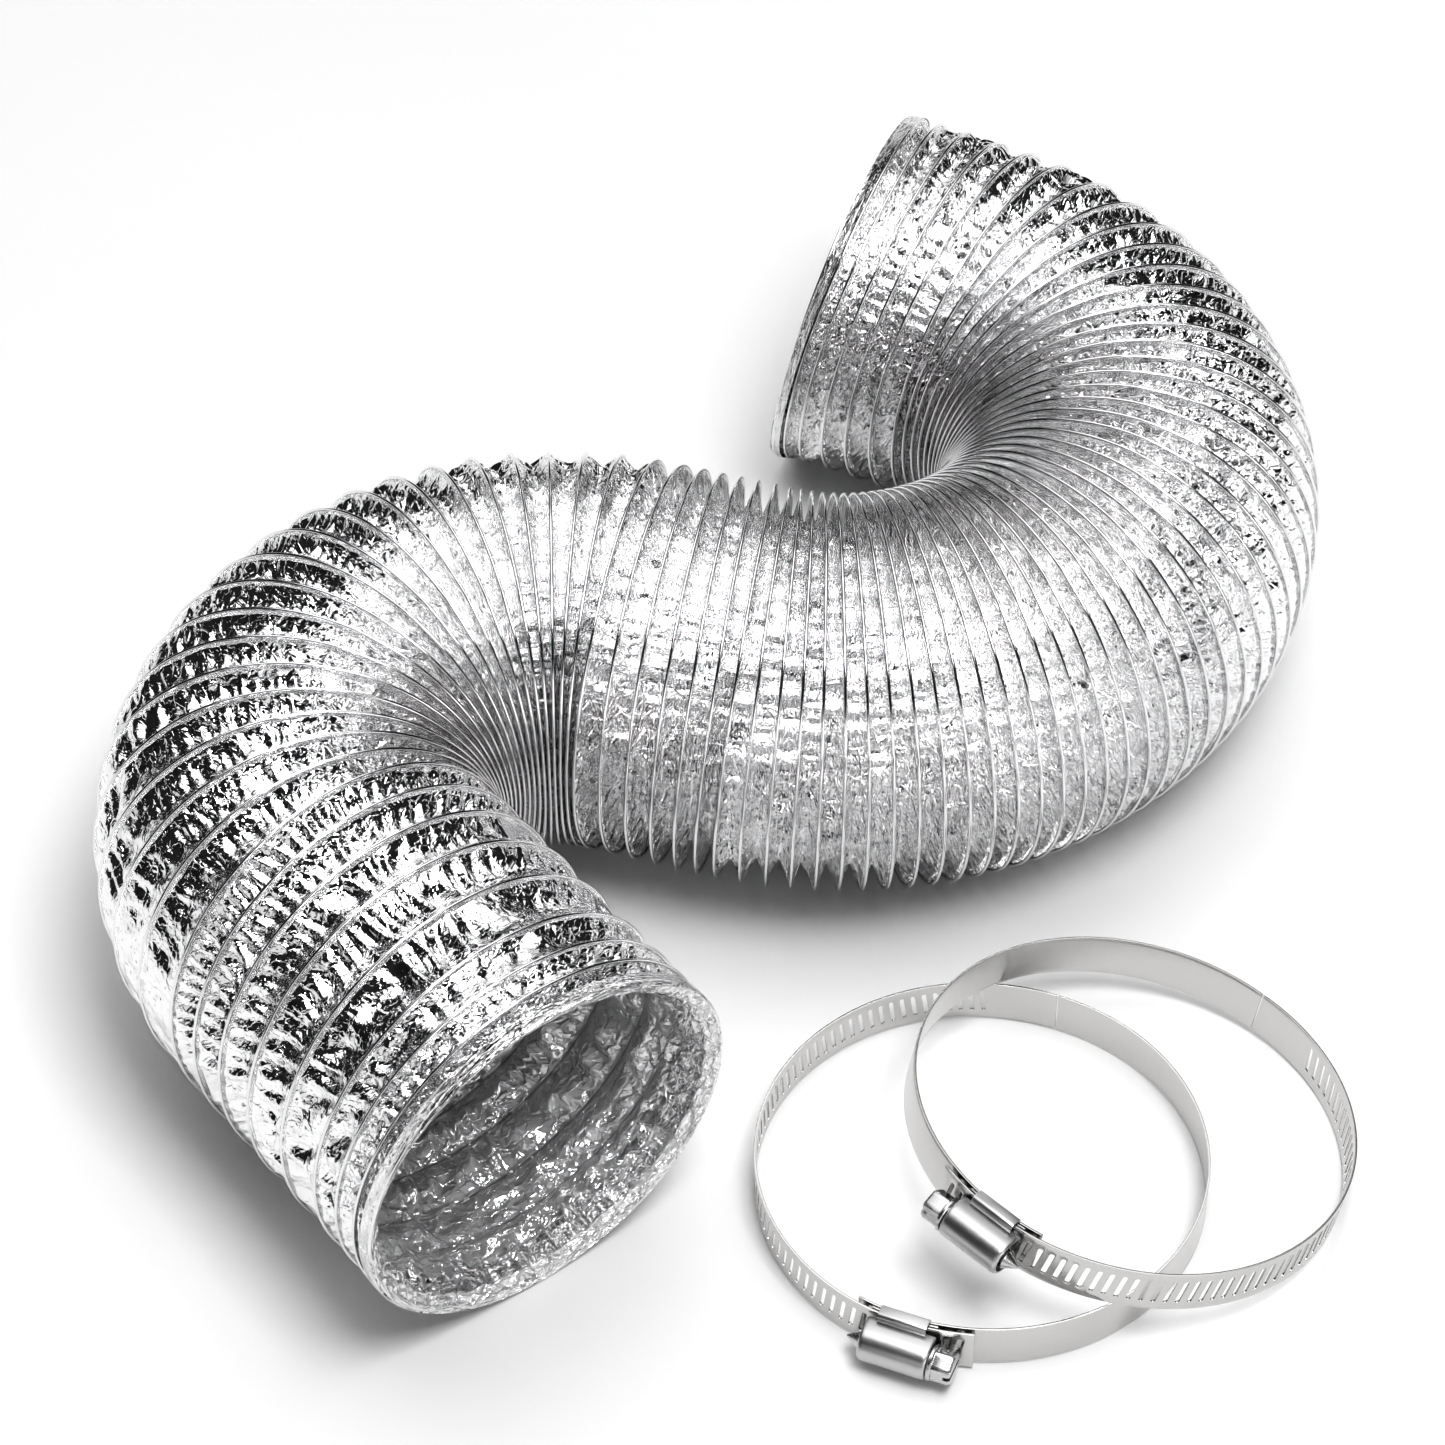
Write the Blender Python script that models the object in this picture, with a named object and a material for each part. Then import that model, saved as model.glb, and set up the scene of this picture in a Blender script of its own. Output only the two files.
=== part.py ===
"""A flexible foil air duct lying in an S, and the two worm-drive clamps that fasten it to its collars.

Metres, +Z up. The floor is z = 0, and the origin is on it under the middle of the whole set.
The duct is a spring-wire helix between two foil plies. It is cut into short sections across its
centre line. Each section is hinged to the next at the outer edge of the bend, so straightening
the duct opens the pleats that are packed together on the inner side.
"""

import math

import bmesh
import bpy
from mathutils import Matrix, Vector

MM = 0.001
DEG = math.pi / 180
TURN = 2 * math.pi
UP = Vector((0, 0, 1))

# The duct's cross-section, from the outside in. All radii are to the corners of the facets.
OUTER_RADIUS = 54.0 * MM
PLY = 0.4 * MM
WIRE_CENTRE = 52.3 * MM
WIRE_RADIUS = 0.5 * MM
INNER_RADIUS = 50.9 * MM
SIDES = 12
WIRE_SIDES = 3

# The centre line, from the near mouth to the far mouth, seen from above.
START = (-44.0 * MM, -173.3 * MM)
START_HEADING = 127.2 * DEG
NEAR_STRAIGHT = 90 * MM
NEAR_BEND_RADIUS = 66 * MM
NEAR_BEND_ANGLE = 144.5 * DEG
MIDDLE = 34.5 * MM
FAR_BEND_RADIUS = 81 * MM
FAR_BEND_ANGLE = 162.5 * DEG
FAR_STRAIGHT = 49 * MM
FAR_EASE_RADIUS = 208 * MM
LEGS = (
    (NEAR_STRAIGHT, 0),
    (NEAR_BEND_RADIUS * NEAR_BEND_ANGLE, -1 / NEAR_BEND_RADIUS),
    (MIDDLE, 0),
    (FAR_BEND_RADIUS * FAR_BEND_ANGLE, 1 / FAR_BEND_RADIUS),
    (FAR_STRAIGHT, 1 / FAR_EASE_RADIUS),
)
LENGTH = sum(length for length, bend in LEGS)
NEAR_BEND_START = NEAR_STRAIGHT
NEAR_BEND_END = NEAR_BEND_START + LEGS[1][0]
FAR_BEND_START = NEAR_BEND_END + MIDDLE
FAR_BEND_END = FAR_BEND_START + LEGS[3][0]

# The end rings lean back, and the lean fades along the duct.
NEAR_LEAN = -4 * DEG
FAR_LEAN = -11 * DEG
LEAN_REACH = 60 * MM

# Distance between wires along the centre line: (place, pitch), straight lines in between.
PITCHES = (
    (0, 6.5 * MM),
    (17 * MM, 8.5 * MM),
    (30 * MM, 16 * MM),
    (46 * MM, 15 * MM),
    (NEAR_BEND_START, 9.8 * MM),
    (NEAR_BEND_START + 80 * MM, 9 * MM),
    (NEAR_BEND_END, 6.2 * MM),
    (FAR_BEND_START, 5.0 * MM),
    (FAR_BEND_START + 60 * MM, 3.9 * MM),
    (FAR_BEND_START + 110 * MM, 5.7 * MM),
    (FAR_BEND_END - 40 * MM, 8.5 * MM),
    (FAR_BEND_END, 11 * MM),
    (LENGTH - 14 * MM, 9 * MM),
    (LENGTH, 4 * MM),
)

# Sections: how the duct is cut for bending and stretching.
NEAR_CUFF = 26 * MM
FAR_CUFF = 20 * MM
BEND_SECTIONS = 5
SECTION_GAP = 0.5 * MM
CHORD_TURN = 9.8 * DEG  # the most that one facet along the duct may bend
HEM_LENGTH = 3 * MM
HEM_GAP = 0.3 * MM
PIVOT_PROUD = 0.5 * MM  # how far a section's pivot stands outside the foil

# The clamps, in their own frame: the loop's middle at the origin, the screw housing at +X.
BAND_THICKNESS = 0.6 * MM
BAND_WIDTH = 12.7 * MM
HEAD_RADIUS = 57.8 * MM
TAIL_RADIUS_AT_SCREW = 59.6 * MM
TAIL_RADIUS_AT_SPLIT = HEAD_RADIUS
HEAD_LAP = 13 * DEG
TAIL_LAP = 17.5 * DEG
TAIL_STRAIGHT_TO = 16 * DEG  # the tail starts to spiral in beyond this
SPLIT_GAP = 0.3 * DEG
BAND_STEP = 7.5 * DEG
SLOT_COUNT = 30
SLOT_PITCH = 3.05 * DEG
SLOT_WIDTH = 1.25 * DEG
SLOT_HEIGHT = 7.6 * MM
SLOT_FIRST = -14.5 * DEG
SADDLE_RADIUS = 58.7 * MM
SADDLE_HALF_ANGLE = 8.6 * DEG
SCREW_AXIS = 63.9 * MM
WORM_RADIUS = 3.6 * MM
DOME_RADIUS = 4.1 * MM
HOUSING_WALL = 0.7 * MM
HOUSING_LENGTH = 18 * MM
HOUSING_FOOT = 57.9 * MM
HOUSING_SHOULDER = 60.6 * MM
HOUSING_HALF_WIDTH = 6.65 * MM
HEX_FLATS = 7.9 * MM
HEX_LENGTH = 5 * MM
COLLAR_RADIUS = 4.8 * MM
COLLAR_LENGTH = 1 * MM
DRIVER_SLOT = (1.1 * MM, 1.6 * MM)  # width and depth
TIP_LENGTH = 3.5 * MM
SCREW_PLAY = 0.4 * MM

LOWER_CLAMP = (65.4 * MM, -139.3 * MM)
LOWER_FACING = -112 * DEG
UPPER_CLAMP = (102.9 * MM, -130.3 * MM)
UPPER_FACING = -131 * DEG
UPPER_TILT = 10.6 * DEG


# ---- the duct's centre line ----


def centre_line(place):
    """The centre line's x, y and heading at a distance from the near mouth."""
    x, y = START
    heading = START_HEADING
    for length, bend in LEGS:
        step = min(place, length)
        turn = step * bend
        chord = 2 * math.sin(turn / 2) / bend if bend else step
        x += chord * math.cos(heading + turn / 2)
        y += chord * math.sin(heading + turn / 2)
        heading += turn
        place -= step
        if place <= 0:
            break
    return x, y, heading


def lean(place):
    near = NEAR_LEAN * math.exp(-((place / LEAN_REACH) ** 2))
    far = FAR_LEAN * math.exp(-(((LENGTH - place) / LEAN_REACH) ** 2))
    return near + far


def ring_frame(place):
    """A ring's centre, its direction to the duct's left side, and its direction to the top."""
    x, y, heading = centre_line(place)
    along = Vector((math.cos(heading), math.sin(heading), 0))
    left = Vector((-math.sin(heading), math.cos(heading), 0))
    tilt = lean(place)
    top = along * math.sin(tilt) + UP * math.cos(tilt)
    return Vector((x, y, OUTER_RADIUS)), left, top


def ring_point(place, radius, angle):
    centre, left, top = ring_frame(place)
    return centre + left * (radius * math.cos(angle)) + top * (radius * math.sin(angle))


def turns_before(place):
    """How many turns of wire there are before a place on the centre line."""
    turns = 0
    for (start, pitch), (end, next_pitch) in zip(PITCHES, PITCHES[1:]):
        share = min(1, max(0, (place - start) / (end - start)))
        density = 1 / pitch + share * (1 / next_pitch - 1 / pitch)
        turns += (end - start) * share * (1 / pitch + density) / 2
    return turns


def place_of_turn(turn):
    """The place on the centre line that the wire has reached after some turns."""
    low, high = 0, LENGTH
    for _ in range(40):
        middle = (low + high) / 2
        if turns_before(middle) < turn:
            low = middle
        else:
            high = middle
    return (low + high) / 2


def section_cuts():
    """Each section's name and the two places on the centre line between which it lies."""
    near_step = (NEAR_BEND_END - NEAR_BEND_START) / BEND_SECTIONS
    far_step = (FAR_BEND_END - FAR_BEND_START) / BEND_SECTIONS
    names = ["near_cuff", "near_barrel"]
    cuts = [0, NEAR_CUFF, NEAR_BEND_START]
    for number in range(BEND_SECTIONS):
        names.append(f"near_bend_{number + 1}")
        cuts.append(NEAR_BEND_START + (number + 1) * near_step)
    names.append("middle")
    cuts.append(FAR_BEND_START)
    for number in range(BEND_SECTIONS):
        names.append(f"far_bend_{number + 1}")
        cuts.append(FAR_BEND_START + (number + 1) * far_step)
    names += ["far_barrel", "far_cuff"]
    cuts += [LENGTH - FAR_CUFF, LENGTH]
    return list(zip(names, cuts, cuts[1:]))


def pivot_of(place):
    """Where the sections hinge: at the outer edge of the bend that the place lies in."""
    side = 1 if place < (NEAR_BEND_END + FAR_BEND_START) / 2 else -1
    centre, left, _ = ring_frame(place)
    return centre + left * side * (OUTER_RADIUS + PIVOT_PROUD)


# ---- materials and objects ----


def material(name, colour, roughness, metallic=1.0):
    made = bpy.data.materials.new(name)
    made.use_nodes = True
    shader = made.node_tree.nodes["Principled BSDF"]
    shader.inputs["Base Color"].default_value = (*colour, 1)
    shader.inputs["Roughness"].default_value = roughness
    shader.inputs["Metallic"].default_value = metallic
    return made


def empty(name, location, parent=None):
    made = bpy.data.objects.new(name, None)
    bpy.context.scene.collection.objects.link(made)
    made.matrix_world = Matrix.Translation(location)
    if parent:
        bpy.context.view_layer.update()
        made.parent = parent
        made.matrix_parent_inverse = parent.matrix_world.inverted()
    return made


def object_of(name, mesh, parent, look):
    """An object whose vertices are given in world space, moved into its parent's space."""
    bpy.context.view_layer.update()
    bmesh.ops.recalc_face_normals(mesh, faces=mesh.faces[:])
    bmesh.ops.transform(mesh, matrix=parent.matrix_world.inverted(), verts=mesh.verts[:])
    data = bpy.data.meshes.new(name)
    mesh.to_mesh(data)
    mesh.free()
    data.shade_smooth()
    data.set_sharp_from_angle(angle=40 * DEG)
    data.materials.append(look)
    made = bpy.data.objects.new(name, data)
    bpy.context.scene.collection.objects.link(made)
    made.parent = parent
    return made


def bridged(rings, closed_along=False):
    """A closed surface through rings of points that all have the same count."""
    mesh = bmesh.new()
    rows = [[mesh.verts.new(point) for point in ring] for ring in rings]
    count = len(rows[0])
    pairs = list(zip(rows, rows[1:] + rows[:1])) if closed_along else list(zip(rows, rows[1:]))
    for first, second in pairs:
        for k in range(count):
            after = (k + 1) % count
            mesh.faces.new((first[k], first[after], second[after], second[k]))
    if not closed_along:
        mesh.faces.new(rows[0][::-1])
        mesh.faces.new(rows[-1])
    return mesh


# ---- the duct's pieces ----


def tube_wall(places, outer, inner):
    """A thin tube along the duct, with facets from place to place."""
    loops = []
    for k in range(SIDES):
        angle = TURN * k / SIDES
        outside = [ring_point(place, outer, angle) for place in places]
        inside = [ring_point(place, inner, angle) for place in reversed(places)]
        loops.append(outside + inside)
    return bridged(loops, closed_along=True)


def facet_places(start, end):
    """Places from start to end, close enough that no facet bends by more than CHORD_TURN."""
    bend = abs(centre_line(end)[2] - centre_line(start)[2])
    steps = max(1, math.ceil(bend / CHORD_TURN))
    return [start + (end - start) * k / steps for k in range(steps + 1)]


def wire_coil(start, end):
    """The stretch of spring wire that lies between two places."""
    first = math.ceil(turns_before(start) * SIDES)
    last = math.floor(turns_before(end) * SIDES)
    path = []
    for step in range(first, last + 1):
        place = place_of_turn(step / SIDES)
        path.append((place, TURN * step / SIDES))
    rings = []
    for place, angle in path:
        ring = []
        for side in range(WIRE_SIDES):
            around = TURN * side / WIRE_SIDES
            radius = WIRE_CENTRE + WIRE_RADIUS * math.cos(around)
            along = centre_line(place)[2]
            shift = Vector((math.cos(along), math.sin(along), 0)) * (WIRE_RADIUS * math.sin(around))
            ring.append(ring_point(place, radius, angle) + shift)
        rings.append(ring)
    return bridged(rings)


def build_section(name, start, end, parent, looks):
    hemmed_start = start == 0
    hemmed_end = end == LENGTH
    low = start + (HEM_LENGTH + HEM_GAP if hemmed_start else SECTION_GAP / 2)
    high = end - (HEM_LENGTH + HEM_GAP if hemmed_end else SECTION_GAP / 2)
    places = facet_places(low, high)
    outer = tube_wall(places, OUTER_RADIUS, OUTER_RADIUS - PLY)
    object_of(f"{name}_outer_ply", outer, parent, looks["foil"])
    inner = tube_wall(places, INNER_RADIUS + PLY, INNER_RADIUS)
    object_of(f"{name}_inner_ply", inner, parent, looks["foil"])
    coil = wire_coil(low + WIRE_RADIUS, high - WIRE_RADIUS)
    object_of(f"{name}_wire", coil, parent, looks["wire"])


def build_hem(name, start, end, parent, looks):
    """The folded-over foil edge round a mouth."""
    mesh = tube_wall([start, end], OUTER_RADIUS, INNER_RADIUS)
    object_of(name, mesh, parent, looks["foil"])


def build_duct(looks):
    sections = section_cuts()
    names = [name for name, start, end in sections]
    middle = names.index("middle")
    parents = {"middle": empty("middle_root", (0, 0, 0))}
    for name, start, end in reversed(sections[:middle]):
        inboard = names[names.index(name) + 1]
        parents[name] = empty(f"{name}_joint", pivot_of(end), parents[inboard])
    for name, start, end in sections[middle + 1 :]:
        inboard = names[names.index(name) - 1]
        parents[name] = empty(f"{name}_joint", pivot_of(start), parents[inboard])
    for name, start, end in sections:
        build_section(name, start, end, parents[name], looks)
    build_hem("near_hem", 0, HEM_LENGTH, parents["near_cuff"], looks)
    build_hem("far_hem", LENGTH - HEM_LENGTH, LENGTH, parents["far_cuff"], looks)
    return parents["middle"]


# ---- the clamps' pieces ----


def band_point(radius, angle, height):
    return Vector((radius * math.cos(angle), radius * math.sin(angle), height))


def plain_band(angles, radius_at):
    half = BAND_WIDTH / 2
    rings = []
    for angle in angles:
        outer = radius_at(angle)
        inner = outer - BAND_THICKNESS
        corners = ((outer, -half), (outer, half), (inner, half), (inner, -half))
        rings.append([band_point(radius, angle, height) for radius, height in corners])
    return bridged(rings)


def head_band():
    """The plain half of the band, from the split to under the screw."""
    first = math.pi + SPLIT_GAP / 2
    last = TURN + HEAD_LAP
    steps = round((last - first) / BAND_STEP)
    angles = [first + (last - first) * k / steps for k in range(steps + 1)]
    return plain_band(angles, lambda angle: HEAD_RADIUS)


def tail_radius(angle):
    """The tail runs outside the head under the screw, and meets its radius at the split."""
    share = max(0, angle - TAIL_STRAIGHT_TO) / (math.pi - TAIL_STRAIGHT_TO)
    return TAIL_RADIUS_AT_SCREW + share * (TAIL_RADIUS_AT_SPLIT - TAIL_RADIUS_AT_SCREW)


def tail_band():
    """The slotted half of the band: a row of wall panels with an open slot between each two."""
    edges = []
    for slot in range(SLOT_COUNT):
        start = SLOT_FIRST + slot * SLOT_PITCH
        edges += [start, start + SLOT_WIDTH]
    last = math.pi - SPLIT_GAP / 2
    plain_steps = round((last - edges[-1]) / BAND_STEP)
    plain = [edges[-1] + (last - edges[-1]) * (k + 1) / plain_steps for k in range(plain_steps)]
    angles = [-TAIL_LAP, *edges, *plain]
    heights = (-BAND_WIDTH / 2, -SLOT_HEIGHT / 2, SLOT_HEIGHT / 2, BAND_WIDTH / 2)
    mesh = bmesh.new()
    grid = []
    for angle in angles:
        outer = tail_radius(angle)
        column = []
        for height in heights:
            outside = mesh.verts.new(band_point(outer, angle, height))
            inside = mesh.verts.new(band_point(outer - BAND_THICKNESS, angle, height))
            column.append((outside, inside))
        grid.append(column)

    def face(*corners):
        mesh.faces.new(corners)

    for k, (left, right) in enumerate(zip(grid, grid[1:])):
        slotted = 1 <= k < 2 * SLOT_COUNT and k % 2 == 1
        for row in range(3):
            if slotted and row == 1:
                continue
            for layer in (0, 1):
                face(left[row][layer], right[row][layer], right[row + 1][layer], left[row + 1][layer])
        for row in (0, 3):
            face(left[row][0], right[row][0], right[row][1], left[row][1])
        if slotted:
            for row in (1, 2):
                face(left[row][0], right[row][0], right[row][1], left[row][1])
            for column in (left, right):
                face(column[1][0], column[2][0], column[2][1], column[1][1])
    for column in (grid[0], grid[-1]):
        for row in range(3):
            face(column[row][0], column[row + 1][0], column[row + 1][1], column[row][1])
    return mesh


def saddle():
    """The curved plate between the two ends of the band, that the housing is folded round."""
    angles = [SADDLE_HALF_ANGLE * k / 3 for k in range(-3, 4)]
    return plain_band(angles, lambda angle: SADDLE_RADIUS)


def housing_outline(wall):
    """Half-profile of the housing from its foot to its crown: distance out, then height."""
    side = HOUSING_HALF_WIDTH + wall
    dome = DOME_RADIUS + wall
    points = [(HOUSING_FOOT, side), (HOUSING_SHOULDER - HOUSING_WALL + wall, side)]
    rise = HOUSING_SHOULDER - HOUSING_WALL + wall - SCREW_AXIS
    foot_angle = math.asin(rise / dome)
    for k in range(7):
        angle = foot_angle + (math.pi / 2 - foot_angle) * k / 6
        points.append((SCREW_AXIS + dome * math.sin(angle), dome * math.cos(angle)))
    return points


def housing():
    """The folded cover over the worm: two feet past the band's edges and a dome."""
    outside = housing_outline(HOUSING_WALL)
    inside = housing_outline(0)
    profile = outside + [(x, -z) for x, z in reversed(outside[:-1])]
    profile += [(x, -z) for x, z in inside] + [(x, z) for x, z in reversed(inside[:-1])]
    half = HOUSING_LENGTH / 2
    rings = [[Vector((x, y, z)) for x, z in profile] for y in (-half, half)]
    return bridged(rings)


def turned(profile, sides, start_angle=0.0):
    """A solid of revolution on the screw's axis from (radius, y) points, closed by its end faces."""
    rings = []
    for radius, y in profile:
        ring = []
        for k in range(sides):
            angle = start_angle + TURN * k / sides
            ring.append(Vector((SCREW_AXIS + radius * math.cos(angle), y, radius * math.sin(angle))))
        rings.append(ring)
    return bridged(rings)


def worm_screw(name, parent, look):
    """Worm barrel with a pointed tip, and a slotted hexagon head with its collar."""
    half = HOUSING_LENGTH / 2
    collar = -half - SCREW_PLAY
    head = collar - COLLAR_LENGTH
    barrel = [
        (COLLAR_RADIUS, head),
        (COLLAR_RADIUS, collar),
        (WORM_RADIUS * 0.7, collar + 0.01 * MM),
        (WORM_RADIUS * 0.7, -half + 1.5 * MM),
        (WORM_RADIUS, -half + 2 * MM),
        (WORM_RADIUS, half - 2 * MM),
        (WORM_RADIUS * 0.7, half - 1.5 * MM),
        (WORM_RADIUS * 0.7, half + 0.5 * MM),
        (WORM_RADIUS * 0.15, half + TIP_LENGTH),
    ]
    made = object_of(name, turned(barrel, 12), parent, look)
    corner = HEX_FLATS / 2 / math.cos(TURN / 12)
    hexagon = [(corner * 0.9, head - HEX_LENGTH), (corner, head - HEX_LENGTH + 0.4 * MM), (corner, head + 0.2 * MM)]
    join(made, turned(hexagon, 6), parent, "UNION")
    width, depth = DRIVER_SLOT
    cutter = bmesh.new()
    bmesh.ops.create_cube(cutter, size=1)
    size = Matrix.Diagonal((4 * COLLAR_RADIUS, 2 * depth, width, 1))
    place = Matrix.Translation((SCREW_AXIS, head - HEX_LENGTH, 0))
    bmesh.ops.transform(cutter, matrix=place @ size, verts=cutter.verts[:])
    join(made, cutter, parent, "DIFFERENCE")
    return made


def join(made, tool_mesh, parent, operation):
    """A Boolean with a hidden tool object that is in the same parent's space."""
    tool = object_of(f"{made.name}_{operation.lower()}_tool", tool_mesh, parent, made.data.materials[0])
    tool.hide_render = True
    tool.display_type = "WIRE"
    boolean = made.modifiers.new(operation.lower(), "BOOLEAN")
    boolean.operation = operation
    boolean.solver = "EXACT"
    boolean.object = tool


def build_clamp(name, matrix, parent, looks):
    """A clamp: head band, saddle and housing are one body; the tail and the screw move on it."""
    frame = empty(f"{name}_lift", (0, 0, 0))
    tail_joint = empty(f"{name}_tail_joint", (-HEAD_RADIUS, 0, 0), frame)
    screw_joint = empty(f"{name}_screw_joint", (SCREW_AXIS, 0, 0), frame)
    object_of(f"{name}_head_band", head_band(), frame, looks["steel"])
    object_of(f"{name}_saddle", saddle(), frame, looks["steel"])
    object_of(f"{name}_housing", housing(), frame, looks["steel"])
    object_of(f"{name}_tail_band", tail_band(), tail_joint, looks["steel"])
    worm_screw(f"{name}_screw", screw_joint, looks["steel"])
    frame.matrix_world = matrix
    bpy.context.view_layer.update()
    frame.parent = parent
    frame.matrix_parent_inverse = parent.matrix_world.inverted()
    return frame


def clamp_places():
    """The lower clamp lies flat, turned over. The upper one leans on it, with its far side on the floor."""
    rest_height = HOUSING_HALF_WIDTH + HOUSING_WALL
    lower = (
        Matrix.Translation((*LOWER_CLAMP, rest_height))
        @ Matrix.Rotation(LOWER_FACING, 4, "Z")
        @ Matrix.Rotation(math.pi, 4, "X")
    )
    towards_lower = Vector((*LOWER_CLAMP, 0)) - Vector((*UPPER_CLAMP, 0))
    tilt_axis = towards_lower.cross(UP)
    upper_height = TAIL_RADIUS_AT_SCREW * math.sin(UPPER_TILT) + BAND_WIDTH / 2 * math.cos(UPPER_TILT)
    upper = (
        Matrix.Translation((*UPPER_CLAMP, upper_height))
        @ Matrix.Rotation(UPPER_TILT, 4, tilt_axis)
        @ Matrix.Rotation(UPPER_FACING, 4, "Z")
    )
    return lower, upper


def main():
    for old in list(bpy.data.objects):
        bpy.data.objects.remove(old)
    looks = {
        "foil": material("foil", (0.85, 0.85, 0.86), 0.18),
        "wire": material("wire", (0.75, 0.75, 0.76), 0.3),
        "steel": material("steel", (0.62, 0.61, 0.6), 0.3),
    }
    root = build_duct(looks)
    lower_place, upper_place = clamp_places()
    lower = build_clamp("lower_clamp", lower_place, root, looks)
    build_clamp("upper_clamp", upper_place, lower, looks)


main()
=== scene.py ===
"""The looks of a flexible foil air duct, bent in an S on the floor, and of the two band clamps beside it.

The duct is one helical strip of foil between the turns of one spring wire. The strip is worked out on a
grid that runs along the helix, so every fold is in the sheet's own directions: u round the duct and w
across the strip, from one turn of wire to the next. The grid is cut into pieces in the middle of each
CAD section, so that each piece lies over the joint between its two sections. The wire is cut at the joints
instead, and its pieces stay rigid, so that its rings stay round.
"""

import math

import bmesh
import bpy
import numpy as np
from mathutils import Matrix, Vector


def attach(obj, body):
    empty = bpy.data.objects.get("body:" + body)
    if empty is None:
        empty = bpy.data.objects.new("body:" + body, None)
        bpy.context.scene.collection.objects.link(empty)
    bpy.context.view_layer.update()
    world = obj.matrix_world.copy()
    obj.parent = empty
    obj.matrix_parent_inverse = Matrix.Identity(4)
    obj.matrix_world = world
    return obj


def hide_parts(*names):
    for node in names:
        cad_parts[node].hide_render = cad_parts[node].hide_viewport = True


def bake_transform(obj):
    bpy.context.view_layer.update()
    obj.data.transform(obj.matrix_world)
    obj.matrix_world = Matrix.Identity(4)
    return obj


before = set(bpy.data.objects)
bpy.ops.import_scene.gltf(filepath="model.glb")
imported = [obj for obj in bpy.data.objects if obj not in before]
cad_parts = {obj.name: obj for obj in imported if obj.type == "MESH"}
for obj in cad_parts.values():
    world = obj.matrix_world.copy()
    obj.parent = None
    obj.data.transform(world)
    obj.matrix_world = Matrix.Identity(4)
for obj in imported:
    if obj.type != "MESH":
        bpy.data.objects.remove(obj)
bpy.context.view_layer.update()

MM = 0.001
DEG = math.pi / 180
TURN = 2 * math.pi
UP = Vector((0, 0, 1))

# The duct's centre line, in the plane of the floor: straight and curved legs, one after another.
OUTER_RADIUS = 54.0 * MM
START = (-44.0 * MM, -173.3 * MM)
START_HEADING = 127.2 * DEG
NEAR_STRAIGHT = 90 * MM
NEAR_BEND_RADIUS = 66 * MM
NEAR_BEND_ANGLE = 144.5 * DEG
MIDDLE = 34.5 * MM
FAR_BEND_RADIUS = 81 * MM
FAR_BEND_ANGLE = 162.5 * DEG
FAR_STRAIGHT = 49 * MM
FAR_EASE_RADIUS = 208 * MM
LEGS = (
    (NEAR_STRAIGHT, 0),
    (NEAR_BEND_RADIUS * NEAR_BEND_ANGLE, -1 / NEAR_BEND_RADIUS),
    (MIDDLE, 0),
    (FAR_BEND_RADIUS * FAR_BEND_ANGLE, 1 / FAR_BEND_RADIUS),
    (FAR_STRAIGHT, 1 / FAR_EASE_RADIUS),
)
NEAR_BEND_START = NEAR_STRAIGHT
NEAR_BEND_END = NEAR_BEND_START + NEAR_BEND_RADIUS * NEAR_BEND_ANGLE
FAR_BEND_START = NEAR_BEND_END + MIDDLE
FAR_BEND_END = FAR_BEND_START + FAR_BEND_RADIUS * FAR_BEND_ANGLE
LENGTH = FAR_BEND_END + FAR_STRAIGHT

# The rings lean off upright towards both ends, and in the middle they also turn off square.
NEAR_LEAN = -4 * DEG
FAR_LEAN = -11 * DEG
LEAN_REACH = 60 * MM
MIDDLE_LEAN = 5 * DEG
MIDDLE_LEAN_AT = 286 * MM
MIDDLE_LEAN_REACH = 26 * MM
MIDDLE_YAW = 8 * DEG
MIDDLE_YAW_AT = 288 * MM
MIDDLE_YAW_REACH = 24 * MM

# The distance from one turn of wire to the next, at places along the centre line.
PITCHES = (
    (0, 6.5 * MM),
    (17 * MM, 8.5 * MM),
    (30 * MM, 16 * MM),
    (46 * MM, 15 * MM),
    (NEAR_BEND_START, 9.8 * MM),
    (NEAR_BEND_START + 80 * MM, 9 * MM),
    (NEAR_BEND_END, 6.2 * MM),
    (FAR_BEND_START, 5.0 * MM),
    (FAR_BEND_START + 60 * MM, 3.9 * MM),
    (FAR_BEND_START + 110 * MM, 5.7 * MM),
    (FAR_BEND_END - 40 * MM, 8.5 * MM),
    (FAR_BEND_END, 11 * MM),
    (LENGTH - 14 * MM, 9 * MM),
    (LENGTH, 4 * MM),
)

# The CAD's sections, which are the bodies that move.
NEAR_CUFF = 26 * MM
FAR_CUFF = 20 * MM
BEND_SECTIONS = 5

# The grid of the foil strip.
COLUMNS = 360
ROWS = 12
STRIP_WIDTH = 17.5 * MM
WIRE_RADIUS = 53.2 * MM
BEAD_RADIUS = 0.46 * MM
BEAD_COLUMNS = 120
BEAD_SIDES = 8
PLY_STEP = 0.45 * MM
HEM_LENGTH = 3 * MM


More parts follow.
